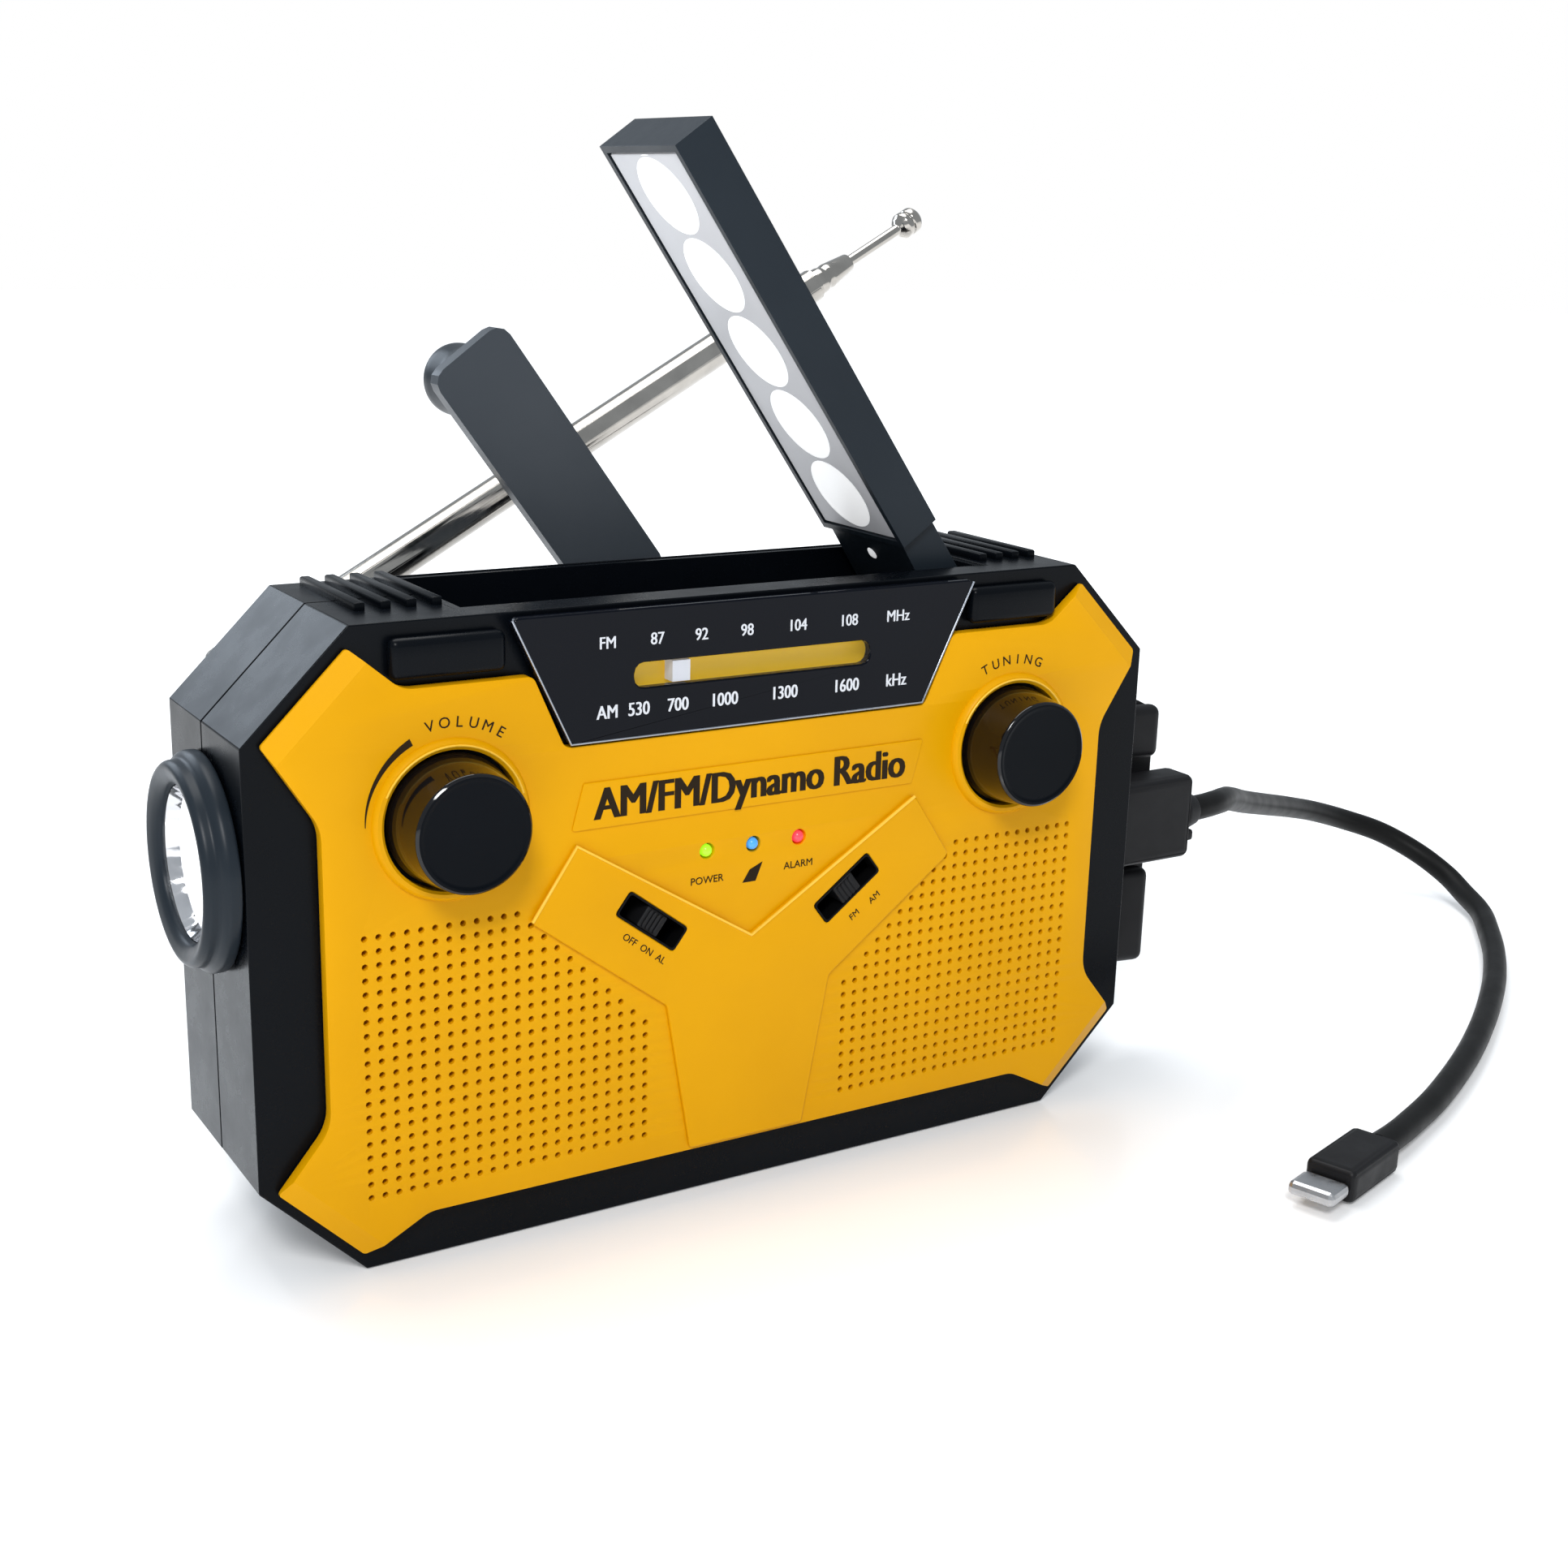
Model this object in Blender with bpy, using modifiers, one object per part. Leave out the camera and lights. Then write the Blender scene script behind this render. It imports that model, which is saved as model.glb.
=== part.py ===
"""Hand-crank emergency radio with a fold-up reading lamp, torch and short charging lead.

Lengths are millimetres here and become metres in the meshes. X runs along the front,
Y runs from the front face to the back, Z is up. The origin is on the underside, midway
between the front face and the back. In this file y is counted from the front face.
"""
from math import asin, atan2, ceil, cos, hypot, pi, radians, sin, sqrt, tau

import bmesh
import bpy
from mathutils import Matrix, Vector

MM = 0.001

# Driving dimensions of the case
WIDTH = 159.0
HEIGHT = 97.7
DEPTH = 42.0
CORNER = 15.8           # cut-off corners of the eight-sided case
WALL = 2.2
GAP = 0.3               # clearance between touching pieces
REAR_CHAMFER = 6.0
SHELL_FRONT = 2.4       # front face of the black shell, behind the yellow panel
PARTING = 20.0          # plane where the two shells meet

# Front panel
PANEL_WIDTH = 154.0
PANEL_LOW, PANEL_HIGH = 3.0, 94.7
PANEL_CORNER = 12.6
PANEL_THICK = 2.1

# Controls on the front
KNOB_X, KNOB_Z = 50.0, 68.8
KNOB_BASE_R, KNOB_CAP_R, KNOB_HEIGHT = 9.9, 8.8, 8.6
WINDOW_TOP, WINDOW_BOTTOM = 97.2, 77.6
WINDOW_TOP_X, WINDOW_BOTTOM_X = 40.8, 31.6
SCALE_Z, SCALE_HALF, SCALE_HIGH = 87.1, 20.9, 3.8
POINTER_X, POINTER_WIDE = -12.8, 3.0
LED_POSITIONS = {"led_power": -7.9, "led_charge": 0.4, "led_alarm": 8.8}
LED_Z, LED_R = 58.1, 0.95
SWITCH_X, SWITCH_Z, SWITCH_SLOPE = 17.8, 48.4, 37.0
SLOT_LONG, SLOT_WIDE = 12.5, 4.3

# Lamp on top, hinged about Y at its right-hand end
TRAY = (-45.5, 49.0, 8.0, 35.4, 86.0, 97.5)
LAMP_PIN_X, LAMP_PIN_Z = 43.5, 93.6
LAMP_LONG, LAMP_THICK = 87.0, 7.5
LAMP_Y = (9.6, 33.9)
LAMP_OPEN = 54.7

# Crank on the back
HUB_X, HUB_Z = 9.0, 82.0
CRANK_ANGLE = 126.6     # direction of the arm from the hub, from +X towards +Z
CRANK_RADIUS = 54.0
FOLD_X, FOLD_Y = 7.0, 46.6
ARM_Y = (45.1, 48.1)
ARM_HALF = 7.5
POCKET_X, POCKET_Z = -25.8, 62.0

# Gear train behind the lamp tray
GEAR_R, PINION_R, IDLER_R = 7.6, 2.6, 9.0
IDLER_X, IDLER_Z = 16.4, 74.6
DYNAMO_X, DYNAMO_Z = 12.4, 63.4

# Telescopic antenna at the back, left-hand corner
ANTENNA = (-62.0, 62.5, 79.05)
ANTENNA_RISE, ANTENNA_LEAN = 25.74, 9.87
KNUCKLE_Y = (52.8, 54.8)
TUBE_END, FERRULE_END, ROD_END, TIP_END = 141.0, 151.3, 166.3, 171.8

# Torch on the left side
TORCH_Y, TORCH_Z = 18.5, 61.7
TORCH_BASE_R, TORCH_RING_R, TORCH_LENS_R = 16.2, 15.1, 10.8
TORCH_OUT = 5.5

# Sockets on the right side
PORT_Y, PORT_Z = 12.5, 47.0
MICRO_Z = 26.0
PORT_BLOCK = (70.0, 76.9, 5.3, 23.2, 15.8, 68.2)
FLAP_PIN_X, FLAP_PIN_Y = 78.6, 22.2
FLAP_OPEN = 80.0
FLAP_LONG = 19.8

# Charging lead: route of its centre line, in millimetres
CABLE_R = 2.4
CABLE_ROUTE = [
    (101.3, 12.5, 47.0), (107.0, 12.9, 47.0), (113.0, 15.0, 46.6), (122.0, 21.5, 44.4),
    (138.0, 33.5, 38.6), (158.0, 46.5, 32.0), (176.0, 57.0, 26.3), (191.0, 63.5, 21.6),
    (203.0, 65.0, 17.6), (212.0, 61.5, 14.2), (217.8, 55.0, 10.2), (219.8, 47.5, 6.6),
    (218.5, 40.5, 4.1), (214.5, 32.0, 2.8), (206.5, 23.0, 2.5), (196.0, 12.5, 2.5),
    (184.0, 2.2, 2.5), (172.0, -6.8, 2.5), (160.0, -15.0, 2.5), (148.0, -22.5, 2.5),
    (136.0, -29.2, 2.5), (123.0, -35.7, 2.5), (112.0, -40.3, 2.6), (104.5, -43.3, 2.9),
    (98.2, -45.3, 3.1),
]

SCREWS = [(-50.5, 80.2), (62.0, 80.0), (-62.0, 16.0), (62.0, 16.0)]

COLOURS = {
    "yellow_plastic": ((0.72, 0.40, 0.0), 0.45, 0.0),
    "black_plastic": ((0.012, 0.014, 0.018), 0.38, 0.0),
    "grey_plastic": ((0.09, 0.10, 0.11), 0.4, 0.0),
    "gloss_black": ((0.006, 0.007, 0.011), 0.1, 0.0),
    "white_plastic": ((0.85, 0.86, 0.88), 0.35, 0.0),
    "clear_plastic": ((0.9, 0.92, 0.94), 0.05, 0.0),
    "chrome": ((0.72, 0.71, 0.68), 0.15, 1.0),
    "steel": ((0.55, 0.55, 0.56), 0.3, 1.0),
    "rubber": ((0.01, 0.01, 0.011), 0.7, 0.0),
    "green_lens": ((0.25, 0.85, 0.05), 0.2, 0.0),
    "blue_lens": ((0.1, 0.45, 0.9), 0.2, 0.0),
    "red_lens": ((0.9, 0.12, 0.15), 0.2, 0.0),
    "circuit_board": ((0.02, 0.16, 0.07), 0.5, 0.0),
    "solar_cells": ((0.01, 0.015, 0.05), 0.15, 0.0),
    "cell_wrap": ((0.03, 0.2, 0.45), 0.35, 0.0),
}


def clear_scene():
    for obj in list(bpy.data.objects):
        bpy.data.objects.remove(obj, do_unlink=True)


def new_collection(name):
    group = bpy.data.collections.new(name)
    bpy.context.scene.collection.children.link(group)
    return group


def make_materials():
    for name, (colour, roughness, metallic) in COLOURS.items():
        material = bpy.data.materials.new(name)
        material.use_nodes = True
        shader = material.node_tree.nodes["Principled BSDF"]
        shader.inputs["Base Color"].default_value = (*colour, 1.0)
        shader.inputs["Roughness"].default_value = roughness
        shader.inputs["Metallic"].default_value = metallic


clear_scene()
PARTS = new_collection("hand_crank_radio")
CUTTERS = new_collection("cutters")
make_materials()


# ---------------------------------------------------------------- general helpers

def world(x, y, z):
    """A place in millimetres, y from the front face, as a vector in metres."""
    return Vector((x, y - DEPTH / 2, z)) * MM


def link(name, mesh, material=None):
    obj = bpy.data.objects.new(name, mesh)
    if material is None:
        CUTTERS.objects.link(obj)
        obj.hide_render = True
        obj.display_type = "WIRE"
    else:
        PARTS.objects.link(obj)
        mesh.materials.append(bpy.data.materials[material])
    return obj


def smooth(obj, degrees=35):
    obj.data.shade_smooth()
    obj.data.set_sharp_from_angle(angle=radians(degrees))


def from_bmesh(name, bm, material):
    mesh = bpy.data.meshes.new(name)
    bm.to_mesh(mesh)
    bm.free()
    return link(name, mesh, material)


def box(name, x0, x1, y0, y1, z0, z1, material=None):
    bm = bmesh.new()
    bmesh.ops.create_cube(bm, size=1.0)
    size = Matrix.Diagonal(((x1 - x0) * MM, (y1 - y0) * MM, (z1 - z0) * MM, 1.0))
    centre = world((x0 + x1) / 2, (y0 + y1) / 2, (z0 + z1) / 2)
    bm.transform(Matrix.Translation(centre) @ size)
    return from_bmesh(name, bm, material)


def rod(name, start, end, radius, material=None, end_radius=None, sides=32):
    """A cylinder or cone between two places."""
    start, end = world(*start), world(*end)
    axis = end - start
    bm = bmesh.new()
    bmesh.ops.create_cone(bm, cap_ends=True, segments=sides, radius1=radius * MM,
                          radius2=(radius if end_radius is None else end_radius) * MM,
                          depth=axis.length)
    turn = axis.to_track_quat("Z", "Y").to_matrix().to_4x4()
    bm.transform(Matrix.Translation((start + end) / 2) @ turn)
    obj = from_bmesh(name, bm, material)
    smooth(obj)
    return obj


def turned(name, profile, base, axis, material=None, sides=32):
    """A turned solid. The profile is (radius, height) pairs from the top down the outside."""
    mesh = bpy.data.meshes.new(name)
    bm = bmesh.new()
    points = [bm.verts.new((r * MM, 0.0, h * MM)) for r, h in profile]
    for first, second in zip(points, points[1:]):
        bm.edges.new((first, second))
    if profile[0][0] > 0.0:
        bm.edges.new((points[-1], points[0]))
    bm.to_mesh(mesh)
    bm.free()
    obj = link(name, mesh, material)
    screw = obj.modifiers.new("Screw", "SCREW")
    screw.steps = sides
    screw.render_steps = sides
    screw.use_merge_vertices = True
    screw.merge_threshold = 0.00001
    screw.use_smooth_shade = True
    obj.matrix_world = Matrix.Translation(world(*base)) @ \
        Vector(axis).to_track_quat("Z", "Y").to_matrix().to_4x4()
    return obj


def arc(centre, radius, start, end, steps):
    angles = [start + (end - start) * i / steps for i in range(steps + 1)]
    return [(centre[0] + radius * cos(a), centre[1] + radius * sin(a)) for a in angles]


def rounded(corners, radius, steps=3):
    """The outline with each corner replaced by an arc. The radius may be a list."""
    count = len(corners)
    radii = radius if isinstance(radius, list) else [radius] * count
    points = []
    for i, corner in enumerate(corners):
        here = Vector(corner)
        before = (Vector(corners[i - 1]) - here).normalized()
        after = (Vector(corners[(i + 1) % count]) - here).normalized()
        if radii[i] <= 0.0:
            points.append(corner)
            continue
        half = before.angle(after) / 2
        middle = here + (before + after).normalized() * radii[i] / sin(half)
        first = here + before * radii[i] * cos(half) / sin(half) - middle
        last = here + after * radii[i] * cos(half) / sin(half) - middle
        start = atan2(first.y, first.x)
        sweep = (atan2(last.y, last.x) - start + pi) % tau - pi
        points += arc(middle, radii[i], start, start + sweep, steps)
    return points


def octagon(width, low, high, corner):
    x = width / 2
    return [(-x, low + corner), (-x + corner, low), (x - corner, low), (x, low + corner),
            (x, high - corner), (x - corner, high), (-x + corner, high), (-x, high - corner)]


def rectangle(x0, x1, z0, z1):
    return [(x0, z0), (x1, z0), (x1, z1), (x0, z1)]


def plate(name, outline, y0, y1, material=None):
    """A flat outline in XZ given thickness along Y."""
    curve = bpy.data.curves.new(name, "CURVE")
    curve.dimensions = "2D"
    curve.fill_mode = "BOTH"
    curve.extrude = (y1 - y0) / 2 * MM
    spline = curve.splines.new("POLY")
    spline.points.add(len(outline) - 1)
    for point, (x, z) in zip(spline.points, outline):
        point.co = (x * MM, z * MM, 0.0, 1.0)
    spline.use_cyclic_u = True
    source = bpy.data.objects.new(name + "_outline", curve)
    source.matrix_world = Matrix.Translation(world(0, (y0 + y1) / 2, 0)) @ \
        Matrix.Rotation(pi / 2, 4, "X")
    CUTTERS.objects.link(source)
    bpy.context.view_layer.update()
    graph = bpy.context.evaluated_depsgraph_get()
    mesh = bpy.data.meshes.new_from_object(source.evaluated_get(graph))
    mesh.transform(source.matrix_world)
    bpy.data.objects.remove(source, do_unlink=True)
    bm = bmesh.new()
    bm.from_mesh(mesh)
    bmesh.ops.remove_doubles(bm, verts=bm.verts, dist=0.00001)
    bm.normal_update()
    bmesh.ops.recalc_face_normals(bm, faces=bm.faces)
    bmesh.ops.dissolve_limit(bm, angle_limit=0.001, verts=bm.verts, edges=bm.edges)
    bpy.data.meshes.remove(mesh)
    return from_bmesh(name, bm, material)


def flat_plate(name, outline, z0, z1, material=None):
    """A flat outline in XY, y from the front face, given thickness along Z."""
    lifted = [(x, y - DEPTH / 2) for x, y in outline]
    obj = plate(name, lifted, DEPTH / 2 - z1, DEPTH / 2 - z0, material)
    return settle(obj, Matrix.Rotation(-pi / 2, 4, "X"))


def chamfer_rear(obj, width):
    """Cut the rim at the greatest y back by 45 degrees."""
    mesh = obj.data
    rear = max(vertex.co.y for vertex in mesh.vertices)
    weights = mesh.attributes.new("bevel_weight_edge", "FLOAT", "EDGE")
    for edge in mesh.edges:
        ends = [mesh.vertices[i].co.y for i in edge.vertices]
        weights.data[edge.index].value = 1.0 if min(ends) > rear - 0.00001 else 0.0
    bevel = obj.modifiers.new("Chamfer", "BEVEL")
    bevel.limit_method = "WEIGHT"
    bevel.width = width * MM
    bevel.segments = 1
    return obj


def boolean(obj, other, operation):
    modifier = obj.modifiers.new(operation.title(), "BOOLEAN")
    modifier.operation = operation
    modifier.solver = "EXACT"
    modifier.object = other


def cut(obj, *cutters):
    for cutter in cutters:
        boolean(obj, cutter, "DIFFERENCE")
    return obj


def join(obj, *extras):
    for extra in extras:
        boolean(obj, extra, "UNION")
    return obj


def edge_round(obj, width, segments=2, degrees=40):
    bevel = obj.modifiers.new("Round", "BEVEL")
    bevel.limit_method = "ANGLE"
    bevel.angle_limit = radians(degrees)
    bevel.width = width * MM
    bevel.segments = segments
    return obj


def pivot(obj, place):
    """Move the object's origin to a place on its joint's axis."""
    point = world(*place)
    if obj.matrix_world != Matrix.Identity(4):
        return obj
    obj.data.transform(Matrix.Translation(-point))
    obj.location = point
    return obj


def settle(obj, matrix):
    """Apply a placing transform to a piece that was drawn in its own frame."""
    obj.data.transform(matrix)
    return obj


def hole(name, x, z, radius, y0, y1, sides=32):
    return rod(name, (x, y0, z), (x, y1, z), radius, sides=sides)


# ---------------------------------------------------------------- case

def switch_outline(side, long, wide, shift=0.0):
    """A slanted rectangle at one of the two slide switches; side is -1 or 1."""
    slope = radians(SWITCH_SLOPE) * side
    along = Vector((cos(slope), sin(slope)))
    across = Vector((-along.y, along.x))
    centre = Vector((side * SWITCH_X, SWITCH_Z)) + along * shift
    return [tuple(centre + along * u * long / 2 + across * v * wide / 2)
            for u, v in ((-1, -1), (1, -1), (1, 1), (-1, 1))]


def panel_outline():
    """Eight-sided outline with a black strip showing in a hollow along each edge."""
    x = PANEL_WIDTH / 2
    side_in, side_low, side_high = 69.0, 16.0, 78.0
    return [
        (-x, PANEL_LOW + PANEL_CORNER), (-x + PANEL_CORNER, PANEL_LOW),
        (-55.5, 6.0), (-51.0, 8.2), (51.0, 8.2), (55.5, 6.0),
        (x - PANEL_CORNER, PANEL_LOW), (x, PANEL_LOW + PANEL_CORNER),
        (side_in + 1.5, side_low + 5.0), (side_in, side_low + 9.0),
        (side_in, side_high - 9.0), (side_in + 1.5, side_high - 4.5),
        (x, PANEL_HIGH - PANEL_CORNER), (x - PANEL_CORNER, PANEL_HIGH),
        (59.0, 89.6), (56.0, 88.6), (36.9, 88.6), (32.1, WINDOW_BOTTOM - GAP),
        (-32.1, WINDOW_BOTTOM - GAP), (-36.9, 88.6), (-56.0, 88.6), (-59.0, 89.6),
        (-x + PANEL_CORNER, PANEL_HIGH), (-x, PANEL_HIGH - PANEL_CORNER),
        (-side_in - 1.5, side_high - 4.5), (-side_in, side_high - 9.0),
        (-side_in, side_low + 9.0), (-side_in - 1.5, side_low + 5.0),
    ]


def front_openings(name, y0, y1):
    """Cutters for what passes through both the panel and the shell behind it."""
    cutters = [hole(f"{name}_{led}_hole", x, LED_Z, LED_R + GAP, y0, y1, 16)
               for led, x in LED_POSITIONS.items()]
    for label, side in (("left", -1), ("right", 1)):
        outline = switch_outline(side, SLOT_LONG, SLOT_WIDE)
        cutters.append(plate(f"{name}_{label}_slot", outline, y0, y1))
    return cutters


def make_front_panel():
    panel = plate("front_panel", panel_outline(), 0.0, PANEL_THICK, "yellow_plastic")
    cut(panel, *front_openings("panel", -1.0, 3.0))
    for side in (-1, 1):
        cut(panel, hole(f"panel_knob_hole_{side + 1}", side * KNOB_X, KNOB_Z,
                        KNOB_BASE_R + 0.5, -1.0, 3.0, 40))


def case_block(name, inset, y0, y1, chamfer=0.0, material=None):
    shrink = inset * (2.0 - sqrt(2.0))
    outline = octagon(WIDTH - 2 * inset, inset, HEIGHT - inset, CORNER - shrink)
    block = plate(name, outline, y0, y1, material)
    return chamfer_rear(block, chamfer) if chamfer else block


def side_openings(name):
    """The torch's hole, the socket opening and the lamp tray's notch, in both shells."""
    x0, x1, y0, y1, z0, z1 = PORT_BLOCK
    torch = rod(f"{name}_torch_hole", (-90, TORCH_Y, TORCH_Z), (-70, TORCH_Y, TORCH_Z), 12.9)
    ports = box(f"{name}_port_opening", x0, 90.0, y0 - GAP, y1 + GAP, z0 - GAP, z1 + GAP)
    a, b, c, d, low, _ = TRAY
    tray = box(f"{name}_tray_notch", a - GAP, b + GAP, c - GAP, d + GAP, low - GAP, 110.0)
    return [torch, ports, tray]


def make_front_shell():
    shell = case_block("front_shell", 0.0, SHELL_FRONT, PARTING, material="black_plastic")
    wall = SHELL_FRONT + WALL
    cut(shell, case_block("front_cavity", WALL, wall, PARTING + 1.0))
    for index, (x, z) in enumerate(SCREWS):
        join(shell, rod(f"post_{index}", (x, wall - 0.5, z), (x, 39.3, z), 3.2, sides=20))
    for index, (x, z) in enumerate(SCREWS):
        cut(shell, hole(f"pilot_{index}", x, z, 1.3, 26.0, 45.0, 12))
    cut(shell, *front_openings("shell", 1.0, 8.0), *side_openings("front"))
    for side in (-1, 1):
        cut(shell, hole(f"shaft_hole_{side + 1}", side * KNOB_X, KNOB_Z, 3.8, 1.0, 8.0, 24))
        cut(shell, hole(f"sound_hole_{side + 1}", side * 42.0, 31.0, 16.0, 1.0, 8.0))
    cut(shell, box("scale_pocket", -24.2, 24.2, 1.0, 8.0, 83.2, 91.0))


def make_rear_shell():
    shell = case_block("rear_shell", 0.0, PARTING + GAP, DEPTH, REAR_CHAMFER, "black_plastic")
    inner = case_block("rear_cavity", WALL, PARTING - 1.0, DEPTH - WALL, REAR_CHAMFER - 0.9)
    cut(shell, inner)
    x, _, z = ANTENNA
    join(shell, rod("knob_cup", (POCKET_X, 29.8, POCKET_Z), (POCKET_X, 41.0, POCKET_Z), 9.0),
         rod("antenna_boss", (x, 36.5, z), (x, KNUCKLE_Y[0] - 0.4, z), 7.9, end_radius=6.2))
    cut(shell, hole("knob_pocket", POCKET_X, POCKET_Z, 7.5, 31.4, 45.0),
        hole("crank_hole", HUB_X, HUB_Z, 3.5, 37.0, 45.0, 24),
        hole("knuckle_hole", x, z, 2.0, 46.0, 60.0, 20),
        box("battery_opening", -36.0, 36.0, 38.0, 45.0, 7.5, 27.5))
    stepped = [(0.0, 7.0), (2.8, 7.0), (2.8, 2.6), (1.7, 2.6), (1.7, 0.0), (0.0, 0.0)]
    for index, (x, z) in enumerate(SCREWS):
        cut(shell, turned(f"screw_hole_{index}", stepped, (x, 38.0, z), (0, 1, 0), sides=20))
    cut(shell, *side_openings("rear"))


def make_screws():
    for index, (x, z) in enumerate(SCREWS):
        profile = [(0.0, 13.0), (2.2, 13.0), (2.4, 12.6), (2.4, 11.9), (1.0, 11.7),
                   (1.0, 0.8), (0.0, 0.0)]
        turned(f"case_screw_{index + 1}", profile, (x, 28.8, z), (0, 1, 0), "steel", 16)


def make_battery():
    door = box("battery_door", -35.7, 35.7, 40.1, 42.0, 7.8, 27.2, "black_plastic")
    edge_round(door, 0.4, 1)
    pivot(door, (0, 42.0, 17.5))
    profile = [(0.0, 65.2), (2.8, 65.2), (2.8, 64.4), (8.4, 64.4), (9.0, 63.8), (9.0, 0.4),
               (8.6, 0.0), (0.0, 0.0)]
    turned("battery_cell", profile, (-32.6, 30.2, 17.5), (1, 0, 0), "cell_wrap", 28)


# ---------------------------------------------------------------- dial and controls

def make_dial():
    outline = [(-WINDOW_TOP_X, WINDOW_TOP), (-WINDOW_BOTTOM_X, WINDOW_BOTTOM),
               (WINDOW_BOTTOM_X, WINDOW_BOTTOM), (WINDOW_TOP_X, WINDOW_TOP)]
    window = plate("dial_window", rounded(outline, [0.8, 2.0, 2.0, 0.8]), -0.3, 1.4,
                   "gloss_black")
    bar = rectangle(-SCALE_HALF, SCALE_HALF, SCALE_Z - SCALE_HIGH / 2, SCALE_Z + SCALE_HIGH / 2)
    cut(window, plate("scale_slot", rounded(bar, 1.6), -2.0, 3.0))
    box("dial_plate", -23.9, 23.9, 3.0, 4.2, 83.5, 90.7, "yellow_plastic")
    pointer = box("dial_pointer", POINTER_X - POINTER_WIDE / 2, POINTER_X + POINTER_WIDE / 2,
                  0.2, 2.7, SCALE_Z - 1.6, SCALE_Z + 1.6, "white_plastic")
    pivot(pointer, (POINTER_X, 1.5, SCALE_Z))


def knob_profile():
    """Turning knob with a domed cap, and a blind bore for its shaft."""
    top, low = KNOB_HEIGHT, -1.8
    cap = arc((KNOB_CAP_R - 0.9, top - 0.9), 0.9, pi / 2, 0.0, 4)
    return [(0.0, top), *cap, (KNOB_BASE_R - 0.4, 0.6), (KNOB_BASE_R, 0.0),
            (KNOB_BASE_R, low), (3.2, low), (3.2, top - 3.3), (0.0, top - 3.3)]


def make_knobs():
    for name, side in (("volume", -1), ("tuning", 1)):
        x = side * KNOB_X
        turned(f"{name}_knob", knob_profile(), (x, 0, KNOB_Z), (0, -1, 0), "gloss_black", 40)
    shaft = [(0.0, 12.9), (2.5, 12.9), (2.9, 12.5), (2.9, 0.0), (0.0, 0.0)]
    turned("volume_shaft", shaft, (-KNOB_X, 7.9, KNOB_Z), (0, -1, 0), "steel", 24)
    drum = [(0.0, 12.9), (2.5, 12.9), (2.9, 12.5), (2.9, 2.9), (8.2, 2.9), (7.6, 2.3),
            (7.6, 0.7), (8.2, 0.2), (8.2, 0.0), (0.0, 0.0)]
    turned("tuning_drum", drum, (KNOB_X, 7.9, KNOB_Z), (0, -1, 0), "white_plastic", 24)
    box("volume_pot", -58.0, -42.0, 8.2, 15.5, 60.8, 76.8, "steel")
    box("tuning_capacitor", 41.0, 59.0, 8.2, 19.5, 59.8, 77.8, "white_plastic")


def make_leds():
    lenses = {"led_power": "green_lens", "led_charge": "blue_lens", "led_alarm": "red_lens"}
    for name, x in LED_POSITIONS.items():
        dome = arc((0.0, 0.0), LED_R, pi / 2, 0.0, 4)
        profile = [*dome, (LED_R, -5.0), (1.5, -5.2), (1.5, -6.4), (0.0, -6.4)]
        profile[0] = (0.0, LED_R)
        turned(name, profile, (x, 0.6, LED_Z), (0, -1, 0), lenses[name], 16)


def make_switches():
    for name, side in (("left", -1), ("right", 1)):
        slider = plate(f"{name}_slider", switch_outline(side, 4.2, 3.5), -0.8, 5.1,
                       "black_plastic")
        pivot(slider, (side * SWITCH_X, 2.0, SWITCH_Z))
        plate(f"{name}_switch_body", switch_outline(side, 14.0, 6.4), 5.5, 9.5, "steel")


def make_inner_parts():
    for name, side in (("speaker_left", -1), ("speaker_right", 1)):
        profile = [(0.0, 12.0), (9.0, 12.0), (9.0, 7.0), (14.0, 6.0), (18.3, 1.8), (18.3, 0.0),
                   (16.5, 0.0), (15.4, 0.5), (6.0, 3.6), (5.4, 3.2), (0.0, 2.2)]
        turned(name, profile, (side * 42.0, 5.0, 31.0), (0, 1, 0), "black_plastic", 32)
    plate("main_board", rounded(rectangle(-56.0, 56.0, 30.0, 75.5), 2.0), 20.8, 22.4,
          "circuit_board")


# ---------------------------------------------------------------- lamp

def lamp_box(name, s0, s1, y0, y1, n0, n1, material=None):
    """A box in the lamp's own frame: s from the pin to the free end, n to the outer face."""
    return box(name, LAMP_PIN_X - s1, LAMP_PIN_X - s0, y0, y1, LAMP_PIN_Z + n0,
               LAMP_PIN_Z + n1, material)


def open_lamp(obj):
    """Swing a lamp piece from closed to its open rest position, origin on the hinge."""
    centre = world(LAMP_PIN_X, 0, LAMP_PIN_Z)
    turn = Matrix.Rotation(radians(LAMP_OPEN), 4, "Y")
    settle(obj, turn @ Matrix.Translation(-centre))
    obj.location = centre
    return obj


def lamp_foot(y0, y1, half):
    """The narrower end of the lamp, rounded about the hinge pin."""
    curve = arc((LAMP_PIN_X, LAMP_PIN_Z), half - 0.1, -pi / 2, pi / 2, 12)
    left = LAMP_PIN_X - 12.6
    outline = [(left, LAMP_PIN_Z - half + 0.6), *curve, (left, LAMP_PIN_Z + half - 0.1)]
    return plate("lamp_foot", outline, y0, y1)


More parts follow.
